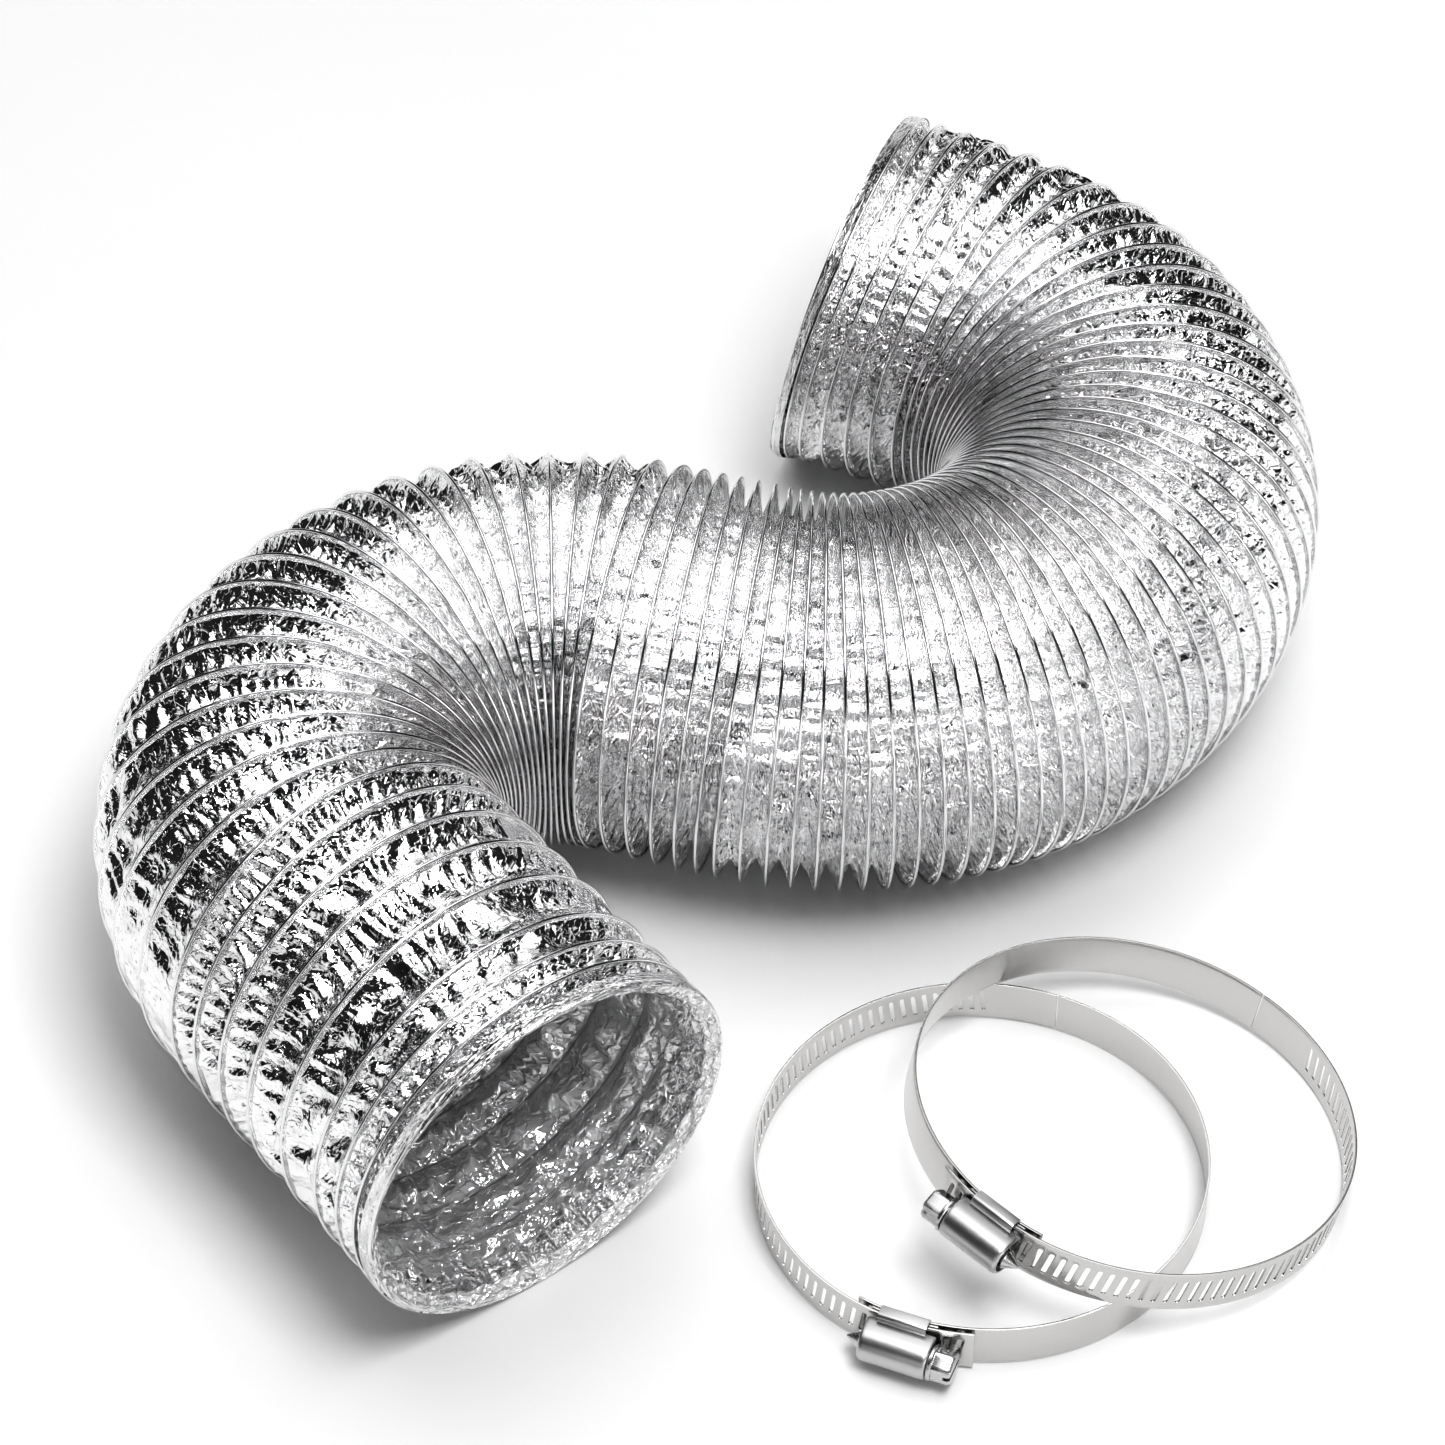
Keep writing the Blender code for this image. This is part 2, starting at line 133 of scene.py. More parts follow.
def new_object(name, points, faces, material):
    """A smooth mesh object from an array of points and an array of quads."""
    mesh = bpy.data.meshes.new(name)
    points = np.asarray(points, dtype=np.float32)
    faces = np.asarray(faces, dtype=np.int32)
    corners = faces.shape[1]
    mesh.vertices.add(len(points))
    mesh.vertices.foreach_set("co", points.ravel())
    mesh.loops.add(faces.size)
    mesh.loops.foreach_set("vertex_index", faces.ravel())
    mesh.polygons.add(len(faces))
    mesh.polygons.foreach_set("loop_start", np.arange(0, faces.size, corners, dtype=np.int32))
    mesh.polygons.foreach_set("loop_total", np.full(len(faces), corners, dtype=np.int32))
    mesh.polygons.foreach_set("use_smooth", np.full(len(faces), True))
    mesh.update(calc_edges=True)
    mesh.validate()
    mesh.materials.append(material)
    thing = bpy.data.objects.new(name, mesh)
    bpy.context.scene.collection.objects.link(thing)
    return thing


# ---------------------------------------------------------------- the centre line and the wire


def centre_line(place):
    """x, y and heading of the centre line at each place along it."""
    left = np.clip(place, 0, LENGTH).astype(float)
    x = np.full(left.shape, START[0])
    y = np.full(left.shape, START[1])
    heading = np.full(left.shape, START_HEADING)
    for length, bend in LEGS:
        step = np.minimum(left, length)
        turn = step * bend
        chord = 2 * np.sin(turn / 2) / bend if bend else step
        x += chord * np.cos(heading + turn / 2)
        y += chord * np.sin(heading + turn / 2)
        heading += turn
        left = left - step
    return x, y, heading


def curvature(place):
    """How sharply the centre line turns to the left at each place."""
    edges = np.cumsum([length for length, _ in LEGS])
    bends = np.array([bend for _, bend in LEGS])
    return bends[np.clip(np.searchsorted(edges, place), 0, len(bends) - 1)]


def duct_point(place, radius, angle):
    """Points round the duct: angle 0 is to the left of the centre line and a quarter turn is up."""
    x, y, heading = centre_line(place)
    tilt = NEAR_LEAN * np.exp(-((place / LEAN_REACH) ** 2))
    tilt = tilt + FAR_LEAN * np.exp(-(((LENGTH - place) / LEAN_REACH) ** 2))
    tilt = tilt + MIDDLE_LEAN * np.exp(-(((place - MIDDLE_LEAN_AT) / MIDDLE_LEAN_REACH) ** 2))
    heading = heading + MIDDLE_YAW * np.exp(-(((place - MIDDLE_YAW_AT) / MIDDLE_YAW_REACH) ** 2))
    side = radius * np.cos(angle)
    rise = radius * np.sin(angle)
    return np.stack(
        (
            x - np.sin(heading) * side + np.cos(heading) * np.sin(tilt) * rise,
            y + np.cos(heading) * side + np.sin(heading) * np.sin(tilt) * rise,
            OUTER_RADIUS + np.cos(tilt) * rise,
        ),
        axis=-1,
    )


WIRE_TABLE_SIZE = 20001


def wire_table():
    """The number of turns of wire before each place, as two arrays to interpolate between."""
    place = np.linspace(0, LENGTH, WIRE_TABLE_SIZE)
    density = np.interp(place, [p for p, _ in PITCHES], [1 / pitch for _, pitch in PITCHES])
    step = place[1] - place[0]
    turns = np.concatenate(([0], np.cumsum((density[1:] + density[:-1]) / 2 * step)))
    return place, turns


WIRE_PLACES, WIRE_TURNS = wire_table()
TURNS = WIRE_TURNS[-1]


def wire_place(turn):
    """The place along the centre line of the wire after that many turns."""
    return np.interp(turn, WIRE_TURNS, WIRE_PLACES)


# ---------------------------------------------------------------- noise for the folds


# The hash behind the noise: any large odd numbers and shifts that mix the bits well.
HASH_I = 374761393
HASH_J = 668265263
HASH_SEED = 2147483647
HASH_ROUNDS = ((13, 1274126177), (16, 2246822519))
HASH_LAST_SHIFT = 15
WORD = 0xFFFFFFFF
FRACTION = 0xFFFFFF


def lattice(i, j, seed):
    """A repeatable random number from 0 to 1 for each pair of whole numbers."""
    mix = (i.astype(np.int64) * HASH_I + j.astype(np.int64) * HASH_J + seed * HASH_SEED) & WORD
    for shift, factor in HASH_ROUNDS:
        mix = ((mix ^ (mix >> shift)) * factor) & WORD
    return ((mix ^ (mix >> HASH_LAST_SHIFT)) & FRACTION) / float(FRACTION)


def noise(x, y, seed):
    """Smooth noise from -1 to 1, one lattice cell to each unit of x and y."""
    i = np.floor(x)
    j = np.floor(y)
    s = x - i
    t = y - j
    s = s * s * (3 - 2 * s)
    t = t * t * (3 - 2 * t)
    low = lattice(i, j, seed) * (1 - s) + lattice(i + 1, j, seed) * s
    high = lattice(i, j + 1, seed) * (1 - s) + lattice(i + 1, j + 1, seed) * s
    return 2 * (low * (1 - t) + high * t) - 1


def fold(x):
    """A zigzag from -1 to 1, with a period of 1 and sharp creases."""
    return 4 * np.abs(x - np.floor(x + 0.5)) - 1


def step_between(low, high, x):
    """A smooth step from 0 below low to 1 above high."""
    t = np.clip((x - low) / (high - low), 0, 1)
    return t * t * (3 - 2 * t)


# Crossing folds of the crumple: direction in degrees and wavelength in millimetres of each, in the sheet.
CRUMPLE_FOLDS = (
    (12, 9.4),
    (78, 7.1),
    (131, 10.3),
    (49, 5.9),
    (163, 5.3),
    (97, 4.3),
    (24, 3.9),
    (118, 3.4),
)
CRUMPLE_SLOPE = 0.12
CRUMPLE_BEND = 1.6 * MM  # how far the folds wander off straight
CRUMPLE_SWAY = 0.8  # how far their spacing wanders, in wavelengths
CRUMPLE_PATCH = (-0.35, 0.25)  # the levels of noise between which a patch of folds fades in


def crumple(u, w, seed):
    """Height of crumpled foil over its sheet: patches of straight folds that cross each other."""
    bend_u = u + CRUMPLE_BEND * noise(u / (9 * MM), w / (7 * MM), seed + 1)
    bend_w = w + CRUMPLE_BEND * noise(u / (8 * MM), w / (9 * MM), seed + 2)
    height = np.zeros(u.shape)
    for k, (direction, wave) in enumerate(CRUMPLE_FOLDS):
        angle = direction * DEG
        length = wave * MM
        across = (bend_u * math.cos(angle) + bend_w * math.sin(angle)) / length
        sway = noise(u / (3.5 * length), w / (3.5 * length), seed + 10 + k)
        patch = noise(u / (2.2 * length), w / (1.8 * length), seed + 30 + k)
        folds = fold(across + CRUMPLE_SWAY * sway)
        height += CRUMPLE_SLOPE / 4 * length * step_between(*CRUMPLE_PATCH, patch) * folds
    return height


# ---------------------------------------------------------------- the foil strip

# The pleat between two turns of wire.
PLEAT_DEEPEST = 8.4 * MM
PLEAT_SHALLOWEST = 1.2 * MM
PLEAT_UNEVEN = 0.16
WIDE_PLEAT = (6.5 * MM, 9.5 * MM)  # spacings of the wire between which the pleat flattens out
WIDE_PLEAT_FLATTER = 0.35
TAUT_NEAR_END = (6 * MM, 42 * MM)  # the pleats are drawn tight at the near mouth
TAUT_NEAR_DEPTH = 0.5
TAUT_FAR_END = (30 * MM, 12 * MM)  # and at the far one, as distances from its end
TAUT_FAR_LOSS = 0.6
FULL_DEPTH_PITCH = 3 * MM
VALLEY_WANDER = 0.10
VALLEY_WANDER_FINE = 0.05
VALLEY_SHARP = 1.15
VALLEY_SHARP_WIDE = 0.2
WIDE_STRIP = (5.5 * MM, 10.5 * MM)

# The tucks, which are folds across the strip.
TUCK_LENGTH = 6.4
TUCK_LENGTH_WIDE = 3.8
TUCK_LENGTH_UNEVEN = 1.2
TUCK_WIDE = (6 * MM, 15 * MM)
TUCK_LEAN = 1.5
TUCK_SWAY = 1.1
TUCK_STRENGTH = 0.75
TUCK_UNEVEN = 0.55
TUCK_PACKED = 0.12  # what is left of them where the wires are close together
OPEN_STRIP = (5.5 * MM, 9.5 * MM)  # spacings of the wire between which they come to full height
TUCK_HEIGHT = 2.1
TUCK_EDGE = 0.6  # powers of the curve that takes the folds down to nothing at the wires
CRUMPLE_EDGE = 0.55

# The crumple, and how far the foil stays under the wire.
NOT_PACKED = (1.0 * MM, 5 * MM)
CRUMPLE_PACKED = 0.25
CRUMPLE_NARROW = 0.9
CRUMPLE_NARROW_STRIP = (4 * MM, 6.5 * MM)
UNDER_WIRE = 0.3 * MM
SLIDE = 0.45 * MM
FULL_SLIDE_PITCH = 9 * MM


def pleat_depth(u, turn, low, high, pitch, here):
    """How deep the valley between two turns of wire is."""
    loose = step_between(*TAUT_NEAR_END, low) * TAUT_NEAR_DEPTH + (1 - TAUT_NEAR_DEPTH)
    far_start, far_end = (LENGTH - away for away in TAUT_FAR_END)
    loose = loose * (1 - TAUT_FAR_LOSS * step_between(far_start, far_end, high))
    folded = (STRIP_WIDTH / 2) ** 2 - (here / 2) ** 2
    depth = np.sqrt(np.clip(folded, PLEAT_SHALLOWEST**2, None))
    depth = np.minimum(depth, PLEAT_DEEPEST) * loose * np.clip(pitch / FULL_DEPTH_PITCH, 0, 1)
    depth = depth * (1 + PLEAT_UNEVEN * noise(u / (26 * MM), turn * 0.9, 5))
    return depth * (1 - WIDE_PLEAT_FLATTER * step_between(*WIDE_PLEAT, here))


def tuck_relief(u, turn, across, here, depth, profile):
    """Height of the tucks: the valley is shorter than the wire, so its spare foil stands in folds."""
    length = TUCK_LENGTH + TUCK_LENGTH_WIDE * step_between(*TUCK_WIDE, here)
    length = (length + TUCK_LENGTH_UNEVEN * noise(turn * 0.8, turn * 0.3, 11)) * MM
    lean = TUCK_LEAN * noise(u / (15 * MM), turn * 1.3, 12)
    tuck = u / length + lean * (across - 0.5) + TUCK_SWAY * noise(u / (13 * MM), turn * 0.9, 13)
    spare = np.sqrt(np.clip(2 * depth * np.clip(profile, 0, 1) / WIRE_RADIUS, 0, None))
    strength = TUCK_STRENGTH + TUCK_UNEVEN * noise(u / (17 * MM), turn * 1.1, 14)
    strength = strength * (TUCK_PACKED + (1 - TUCK_PACKED) * step_between(*OPEN_STRIP, here))
    return fold(tuck) * spare * length / 4 * strength * TUCK_HEIGHT


def strip_grid():
    """Places, angles, radii and sheet coordinates of the foil strip, one row per column of the helix."""
    column = np.arange(-COLUMNS, int(TURNS * COLUMNS) + 1)[:, None]
    across = np.linspace(0, 1, ROWS + 1)[None, :]
    turn = column / COLUMNS
    low = wire_place(turn)
    high = wire_place(turn + 1)
    pitch = high - low
    angle = TURN * turn + np.zeros_like(across)
    place = low + pitch * across

    # The pitch that the strip really has here, which is short on the inside of a bend.
    bend = curvature(low + pitch / 2)
    here = pitch * (1 - bend * WIRE_RADIUS * np.cos(TURN * turn))
    u = WIRE_RADIUS * TURN * turn + np.zeros_like(across)
    w = STRIP_WIDTH * across + np.zeros_like(u)
    depth = pleat_depth(u, turn, low, high, pitch, here)

    # The valley wanders a little from the middle of the strip.
    skew = VALLEY_WANDER * noise(u / (34 * MM), turn * 0.7, 7)
    skew = skew + VALLEY_WANDER_FINE * noise(u / (9 * MM), turn * 1.3, 8)
    v = across + skew * np.sin(math.pi * across)
    wide = step_between(*WIDE_STRIP, here)
    profile = 1 - np.abs(2 * v - 1) ** (VALLEY_SHARP + VALLEY_SHARP_WIDE * wide)

    edge = np.sin(math.pi * np.clip(across, 0, 1))
    tucks = tuck_relief(u, turn, across, here, depth, profile) * edge**TUCK_EDGE
    crumpled = crumple(u, w, 40) * edge**CRUMPLE_EDGE
    packed = step_between(*NOT_PACKED, here)
    crumpled = crumpled * (CRUMPLE_PACKED + (1 - CRUMPLE_PACKED) * packed)
    crumpled = crumpled * (1 + CRUMPLE_NARROW * (1 - wide) * step_between(*CRUMPLE_NARROW_STRIP, here))
    radius = WIRE_RADIUS - depth * profile + tucks * packed + crumpled
    radius = np.minimum(radius, WIRE_RADIUS - UNDER_WIRE * edge)
    slide = SLIDE * noise(u / (5 * MM), w / (4 * MM), 60) * edge * packed
    place = place + slide * np.clip(pitch / FULL_SLIDE_PITCH, 0, 1)
    packing = 1 - step_between(*OPEN_STRIP, here) + np.zeros_like(u)
    return column, place, radius, angle, u, w, pitch, packing


LEAST_PITCH = 0.2 * MM  # the strip ends where the wire stops moving along


def strip_faces(column, pitch):
    """The strip's vertices numbered so that neighbouring turns share the row at the wire, and its quads."""
    count = len(column)
    number = np.zeros((count, ROWS + 1), dtype=np.int64)
    number[:, :ROWS] = np.arange(count * ROWS).reshape(count, ROWS)
    number[: count - COLUMNS, ROWS] = number[COLUMNS:, 0]
    number[count - COLUMNS :, ROWS] = count * ROWS + np.arange(COLUMNS)
    kept = (pitch[:-1, 0] > LEAST_PITCH) & (pitch[1:, 0] > LEAST_PITCH)
    corners = (number[:-1, :-1], number[1:, :-1], number[1:, 1:], number[:-1, 1:])
    return number, np.stack([corner[kept] for corner in corners], axis=-1).reshape(-1, 4)


def spread(number, grid, total):
    """The grid's values in the order of the shared vertex numbers."""
    flat = np.zeros((total,) + grid.shape[2:])
    flat[number[:, ROWS]] = grid[:, ROWS]
    flat[number[:, :ROWS].ravel()] = grid[:, :ROWS].reshape((-1,) + grid.shape[2:])
    return flat


# ---------------------------------------------------------------- sections and pieces


def section_cuts():
    """The name, start and end of each CAD section."""
    cuts = [("near_cuff", 0, NEAR_CUFF), ("near_barrel", NEAR_CUFF, NEAR_BEND_START)]
    for prefix, start, end in (
        ("near_bend", NEAR_BEND_START, NEAR_BEND_END),
        ("far_bend", FAR_BEND_START, FAR_BEND_END),
    ):
        step = (end - start) / BEND_SECTIONS
        for k in range(BEND_SECTIONS):
            cuts.append((f"{prefix}_{k + 1}", start + k * step, start + (k + 1) * step))
        if prefix == "near_bend":
            cuts.append(("middle", NEAR_BEND_END, FAR_BEND_START))
    cuts.append(("far_barrel", FAR_BEND_END, LENGTH - FAR_CUFF))
    cuts.append(("far_cuff", LENGTH - FAR_CUFF, LENGTH))
    return cuts


SECTIONS = section_cuts()
SLAB = 0.45 * MM  # half the thickness of the slab at each hinge
NEAR_STRETCH = (14 * MM, 50 * MM)  # the spans of the end slabs, along the duct
FAR_STRETCH = (LENGTH - 32 * MM, LENGTH - 12 * MM)
NEAR_STRETCH_PIECE = 60 * MM  # and where the end pieces are cut off
FAR_STRETCH_PIECE = LENGTH - 36 * MM


def joint_place(k):
    """Where the wire passes the outer side of the bend, nearest to the joint after section k."""
    cut = SECTIONS[k][2]
    phase = 0.0 if cut < (NEAR_BEND_END + FAR_BEND_START) / 2 else 0.5
    turn = float(np.interp(cut, WIRE_PLACES, WIRE_TURNS))
    return float(wire_place(round(turn - phase) + phase))


def ring_middle(place):
    """The middle of the ring of wire at a place, and the direction square to it."""
    at = np.array([place])
    centre, left, top = (Vector(duct_point(at, r, a)[0]) for r, a in ((0, 0), (MM, 0), (MM, math.pi / 2)))
    return centre, (left - centre).cross(top - centre).normalized()


def slab_points(k):
    """Where the bend between section k and the next one starts and ends."""
    stretch = {0: NEAR_STRETCH, len(SECTIONS) - 2: FAR_STRETCH}.get(k)
    if stretch:
        joint = SECTIONS[k][2]
        centre, along = ring_middle(joint)
        return [centre + along * (place - joint) for place in stretch]
    centre, along = ring_middle(joint_place(k))
    return centre - along * SLAB, centre + along * SLAB


def piece_spans():
    """Start and end places of the pieces, each from the middle of one section to the middle of the next."""
    middles = [(start + end) / 2 for _, start, end in SECTIONS]
    middles[0] = 0
    middles[-1] = LENGTH
    middles[1] = NEAR_STRETCH_PIECE
    middles[-2] = FAR_STRETCH_PIECE
    return list(zip(middles, middles[1:]))


def cut_faces(faces, face_place, start, end, last):
    """The faces whose middle lies between start and end, and their points renumbered from 0."""
    inside = (face_place >= start) & ((face_place < end) | last)
    chosen = faces[inside]
    used, local = np.unique(chosen, return_inverse=True)
    return used, local.reshape(chosen.shape)


def flexing_pieces(label, points, faces, face_place, material, node, sheet):
    """Cuts a ply into pieces, one over each joint."""
    spans = piece_spans()
    for k, (start, end) in enumerate(spans):
        last = k == len(spans) - 1
        used, local = cut_faces(faces, face_place, start, end, last)
        a, b = SECTIONS[k][0], SECTIONS[k + 1][0]
        thing = new_object(f"{label}_{k + 1:02d}", points[used], local, material)
        add_sheet(thing, sheet[used])
        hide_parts(*[f"{section}_{node}" for section in ((a, b) if last else (a,))])
        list(slab_points(k))
        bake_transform(thing)


def wire_pieces(points, faces, face_place):
    """Cuts the wire into one piece for each section, at the outer side of the bend, where the joints are."""
    joints = [joint_place(k) for k in range(1, len(SECTIONS) - 2)]
    cuts = [0, NEAR_STRETCH_PIECE, *joints, FAR_STRETCH_PIECE, LENGTH]
    last = len(SECTIONS) - 1
    for k, (section, _, _) in enumerate(SECTIONS):
        used, local = cut_faces(faces, face_place, cuts[k], cuts[k + 1], k == last)
        thing = new_object(f"wire_bead_{k + 1:02d}", points[used], local, BEAD)
        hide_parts(f"{section}_wire")
        if k == 0:
            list(slab_points(0))
            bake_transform(thing)
        elif k == last:
            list(slab_points(last - 1))
            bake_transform(thing)
        else:
            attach(thing, section)


def add_sheet(thing, values):
    """Stores each point's place in the flat sheet, in millimetres, and how closely its foil is packed."""
    values = np.asarray(values, dtype=np.float32)
    layer = thing.data.attributes.new("sheet", "FLOAT_VECTOR", "POINT")
    layer.data.foreach_set("vector", values[:, :3].ravel())
    if values.shape[1] > 3:
        layer = thing.data.attributes.new("packing", "FLOAT", "POINT")
        layer.data.foreach_set("value", values[:, 3].copy())


# ---------------------------------------------------------------- materials


def node_tree(name):
    """A new material with a Principled surface, its node tree's nodes and links, and that surface."""
    material = bpy.data.materials.new(name)
    material.use_nodes = True
    nodes = material.node_tree.nodes
    links = material.node_tree.links
    nodes.clear()
    output = nodes.new("ShaderNodeOutputMaterial")
    surface = nodes.new("ShaderNodeBsdfPrincipled")
    links.new(surface.outputs[0], output.inputs["Surface"])
    return material, nodes, links, surface


def connect(links, values, inputs):
    """Links each value that is a socket to its input, and sets the input to it otherwise."""
    for value, socket in zip(values, inputs):
        if isinstance(value, bpy.types.NodeSocket):
            links.new(value, socket)
        else:
            socket.default_value = value


def math_node(nodes, links, operation, *values):
    node = nodes.new("ShaderNodeMath")
    node.operation = operation
    connect(links, values, node.inputs)
    return node.outputs[0]


def vector_node(nodes, links, operation, *values):
    node = nodes.new("ShaderNodeVectorMath")
    node.operation = operation
    connect(links, values, node.inputs)
    return node.outputs["Value" if operation == "DOT_PRODUCT" else 0]


def noise_node(nodes, links, where, scale, detail):
    node = nodes.new("ShaderNodeTexNoise")
    node.inputs["Scale"].default_value = scale
    node.inputs["Detail"].default_value = detail
    links.new(where, node.inputs["Vector"])
    return node


def voronoi_node(nodes, links, where, scale, feature):
    node = nodes.new("ShaderNodeTexVoronoi")
    node.feature = feature
    node.inputs["Scale"].default_value = scale
    links.new(where, node.inputs["Vector"])
    return node


def uneven_roughness(nodes, links, surface, texture, middle, spread_by):
    """Lets the roughness vary with a noise texture, by spread_by from its lowest to its highest."""
    level = math_node(nodes, links, "MULTIPLY_ADD", texture.outputs["Fac"], spread_by, middle - spread_by / 2)
    links.new(level, surface.inputs["Roughness"])


def bump(nodes, links, surface, height, strength, distance):
    relief = nodes.new("ShaderNodeBump")
    relief.inputs["Strength"].default_value = strength
    relief.inputs["Distance"].default_value = distance
    links.new(height, relief.inputs["Height"])
    links.new(relief.outputs["Normal"], surface.inputs["Normal"])


FACET_SHIFT = (31.7, 17.3, 5.1)  # moves each layer of facets to another part of the pattern
FACET_RIM = 0.16  # how far from its edge a facet comes to its full tilt


def facet_height(nodes, links, where, scale, layer):
    """Height of a crease pattern of flat tilted facets, that falls to nothing at the edges between them."""
    where = vector_node(nodes, links, "ADD", where, tuple(layer * shift for shift in FACET_SHIFT))
    cells = voronoi_node(nodes, links, where, scale, "F1")
    edges = voronoi_node(nodes, links, where, scale, "DISTANCE_TO_EDGE")
    away = vector_node(nodes, links, "SUBTRACT", where, cells.outputs["Position"])
    tilt = vector_node(nodes, links, "SUBTRACT", cells.outputs["Color"], (0.5, 0.5, 0.5))
    rise = vector_node(nodes, links, "DOT_PRODUCT", away, tilt)
    rim = nodes.new("ShaderNodeMapRange")
    rim.interpolation_type = "SMOOTHSTEP"
    rim.inputs["From Max"].default_value = FACET_RIM
    links.new(edges.outputs["Distance"], rim.inputs["Value"])
    return math_node(nodes, links, "MULTIPLY", rise, rim.outputs[0])


PACKED_SLOPE = 1.3  # how much steeper the fine creases are where the wires are close together
FINE_SHARE = 0.9
WARP_SCALE = 0.3
WARP_REACH = (3.0, 3.0, 0.0)
DULL_SCALE = 0.12
DULL_SPREAD = 0.12


def foil_material(name, base, rough, slope, coarse_scale=0.2, fine_scale=0.52, metal=1.0):
    """Bright foil with fine creases, laid out in the sheet's own millimetres."""
    material, nodes, links, surface = node_tree(name)
    surface.inputs["Base Color"].default_value = (*base, 1)
    surface.inputs["Metallic"].default_value = metal
    sheet = nodes.new("ShaderNodeAttribute")
    sheet.attribute_name = "sheet"
    where = sheet.outputs["Vector"]
    warp = noise_node(nodes, links, where, WARP_SCALE, 3)
    bent = vector_node(nodes, links, "MULTIPLY_ADD", warp.outputs["Color"], WARP_REACH, where)
    coarse = facet_height(nodes, links, bent, coarse_scale, 1)
    fine = facet_height(nodes, links, bent, fine_scale, 2)
    height = math_node(nodes, links, "MULTIPLY_ADD", fine, FINE_SHARE, coarse)
    packing = nodes.new("ShaderNodeAttribute")
    packing.attribute_name = "packing"
    steeper = math_node(nodes, links, "MULTIPLY_ADD", packing.outputs["Fac"], PACKED_SLOPE, 1)
    height = math_node(nodes, links, "MULTIPLY", height, steeper)
    bump(nodes, links, surface, height, 1, slope * MM)
    dull = noise_node(nodes, links, where, DULL_SCALE, 4)
    uneven_roughness(nodes, links, surface, dull, rough, DULL_SPREAD)
    return material


GRAIN_STRETCH = (1, 1, 14)
GRAIN_SPREAD = 0.2
GRAIN_STRENGTH = 0.25
GRAIN_DEPTH = 0.04 * MM


def steel_material(name, base, rough, grain):
    """Stainless steel with a faint rolled grain."""
    material, nodes, links, surface = node_tree(name)
    surface.inputs["Base Color"].default_value = (*base, 1)
    surface.inputs["Metallic"].default_value = 1.0
    where = nodes.new("ShaderNodeTexCoord")
    stretch = nodes.new("ShaderNodeMapping")
    stretch.inputs["Scale"].default_value = GRAIN_STRETCH
    links.new(where.outputs["Object"], stretch.inputs["Vector"])
    streaks = noise_node(nodes, links, stretch.outputs[0], grain, 5)
    uneven_roughness(nodes, links, surface, streaks, rough, GRAIN_SPREAD)
    bump(nodes, links, surface, streaks.outputs["Fac"], GRAIN_STRENGTH, GRAIN_DEPTH)
    return material


# Name, colour and roughness, and for foil also the height of its creases and the scales of their two layers.
FOIL = foil_material("foil_laminate", (0.94, 0.94, 0.945), 0.06, 0.2)
LINING = foil_material("foil_lining", (0.9, 0.9, 0.905), 0.1, 0.32, 0.14, 0.36, 0.72)
HEM_FOIL = foil_material("foil_hem", (0.94, 0.94, 0.945), 0.08, 0.5, 0.16, 0.4)
BEAD = steel_material("foil_over_wire", (0.86, 0.86, 0.865), 0.13, 300)
STEEL = steel_material("stainless_band", (0.6, 0.595, 0.59), 0.2, 400)
HOUSING = steel_material("stainless_housing", (0.55, 0.55, 0.55), 0.34, 500)
SCREW = steel_material("stainless_screw", (0.58, 0.58, 0.58), 0.26, 500)


# ---------------------------------------------------------------- build the duct


def build_foil():
    """Both plies, from one grid: the inner one is the same sheet a little further in, turned over."""
    column, place, radius, angle, u, w, pitch, packing = strip_grid()
    number, faces = strip_faces(column, pitch)
    total = len(column) * ROWS + COLUMNS
    sheet = spread(number, np.stack((u / MM, w / MM, np.zeros_like(u), packing), axis=-1), total)
    face_place = spread(number, place[..., None], total)[faces].mean(axis=1)[:, 0]
    outer = spread(number, duct_point(place, radius, angle), total)
    flexing_pieces("outer_foil", outer, faces, face_place, FOIL, "outer_ply", sheet)
    inner = spread(number, duct_point(place, radius - PLY_STEP, angle), total)
    flexing_pieces("inner_foil", inner, faces[:, ::-1], face_place, LINING, "inner_ply", sheet)


def unit(vectors):
    return vectors / np.linalg.norm(vectors, axis=-1, keepdims=True)


def build_wire():
    """The wire's bead: a thin round tube along the helix."""
    count = int(TURNS * BEAD_COLUMNS) + 1
    turn = np.linspace(0, TURNS, count)
    place = wire_place(turn)
    angle = TURN * turn
    centre = duct_point(place, WIRE_RADIUS, angle)
    along = unit(np.gradient(centre, axis=0))
    out = duct_point(place, WIRE_RADIUS + 1 * MM, angle) - centre
    out = unit(out - along * (out * along).sum(axis=1, keepdims=True))
    side = np.cross(along, out)
    around = np.linspace(0, TURN, BEAD_SIDES, endpoint=False)
    ring = (
        centre[:, None, :]
        + BEAD_RADIUS * np.cos(around)[None, :, None] * out[:, None, :]
        + BEAD_RADIUS * np.sin(around)[None, :, None] * side[:, None, :]
    )
    number = np.arange(count * BEAD_SIDES).reshape(count, BEAD_SIDES)
    after = np.roll(number, -1, axis=1)
    faces = np.stack((number[:-1], after[:-1], after[1:], number[1:]), axis=-1).reshape(-1, 4)
    face_place = np.repeat((place[1:] + place[:-1]) / 2, BEAD_SIDES)
    wire_pieces(ring.reshape(-1, 3), faces, face_place)


build_foil()
build_wire()

# ---------------------------------------------------------------- hems

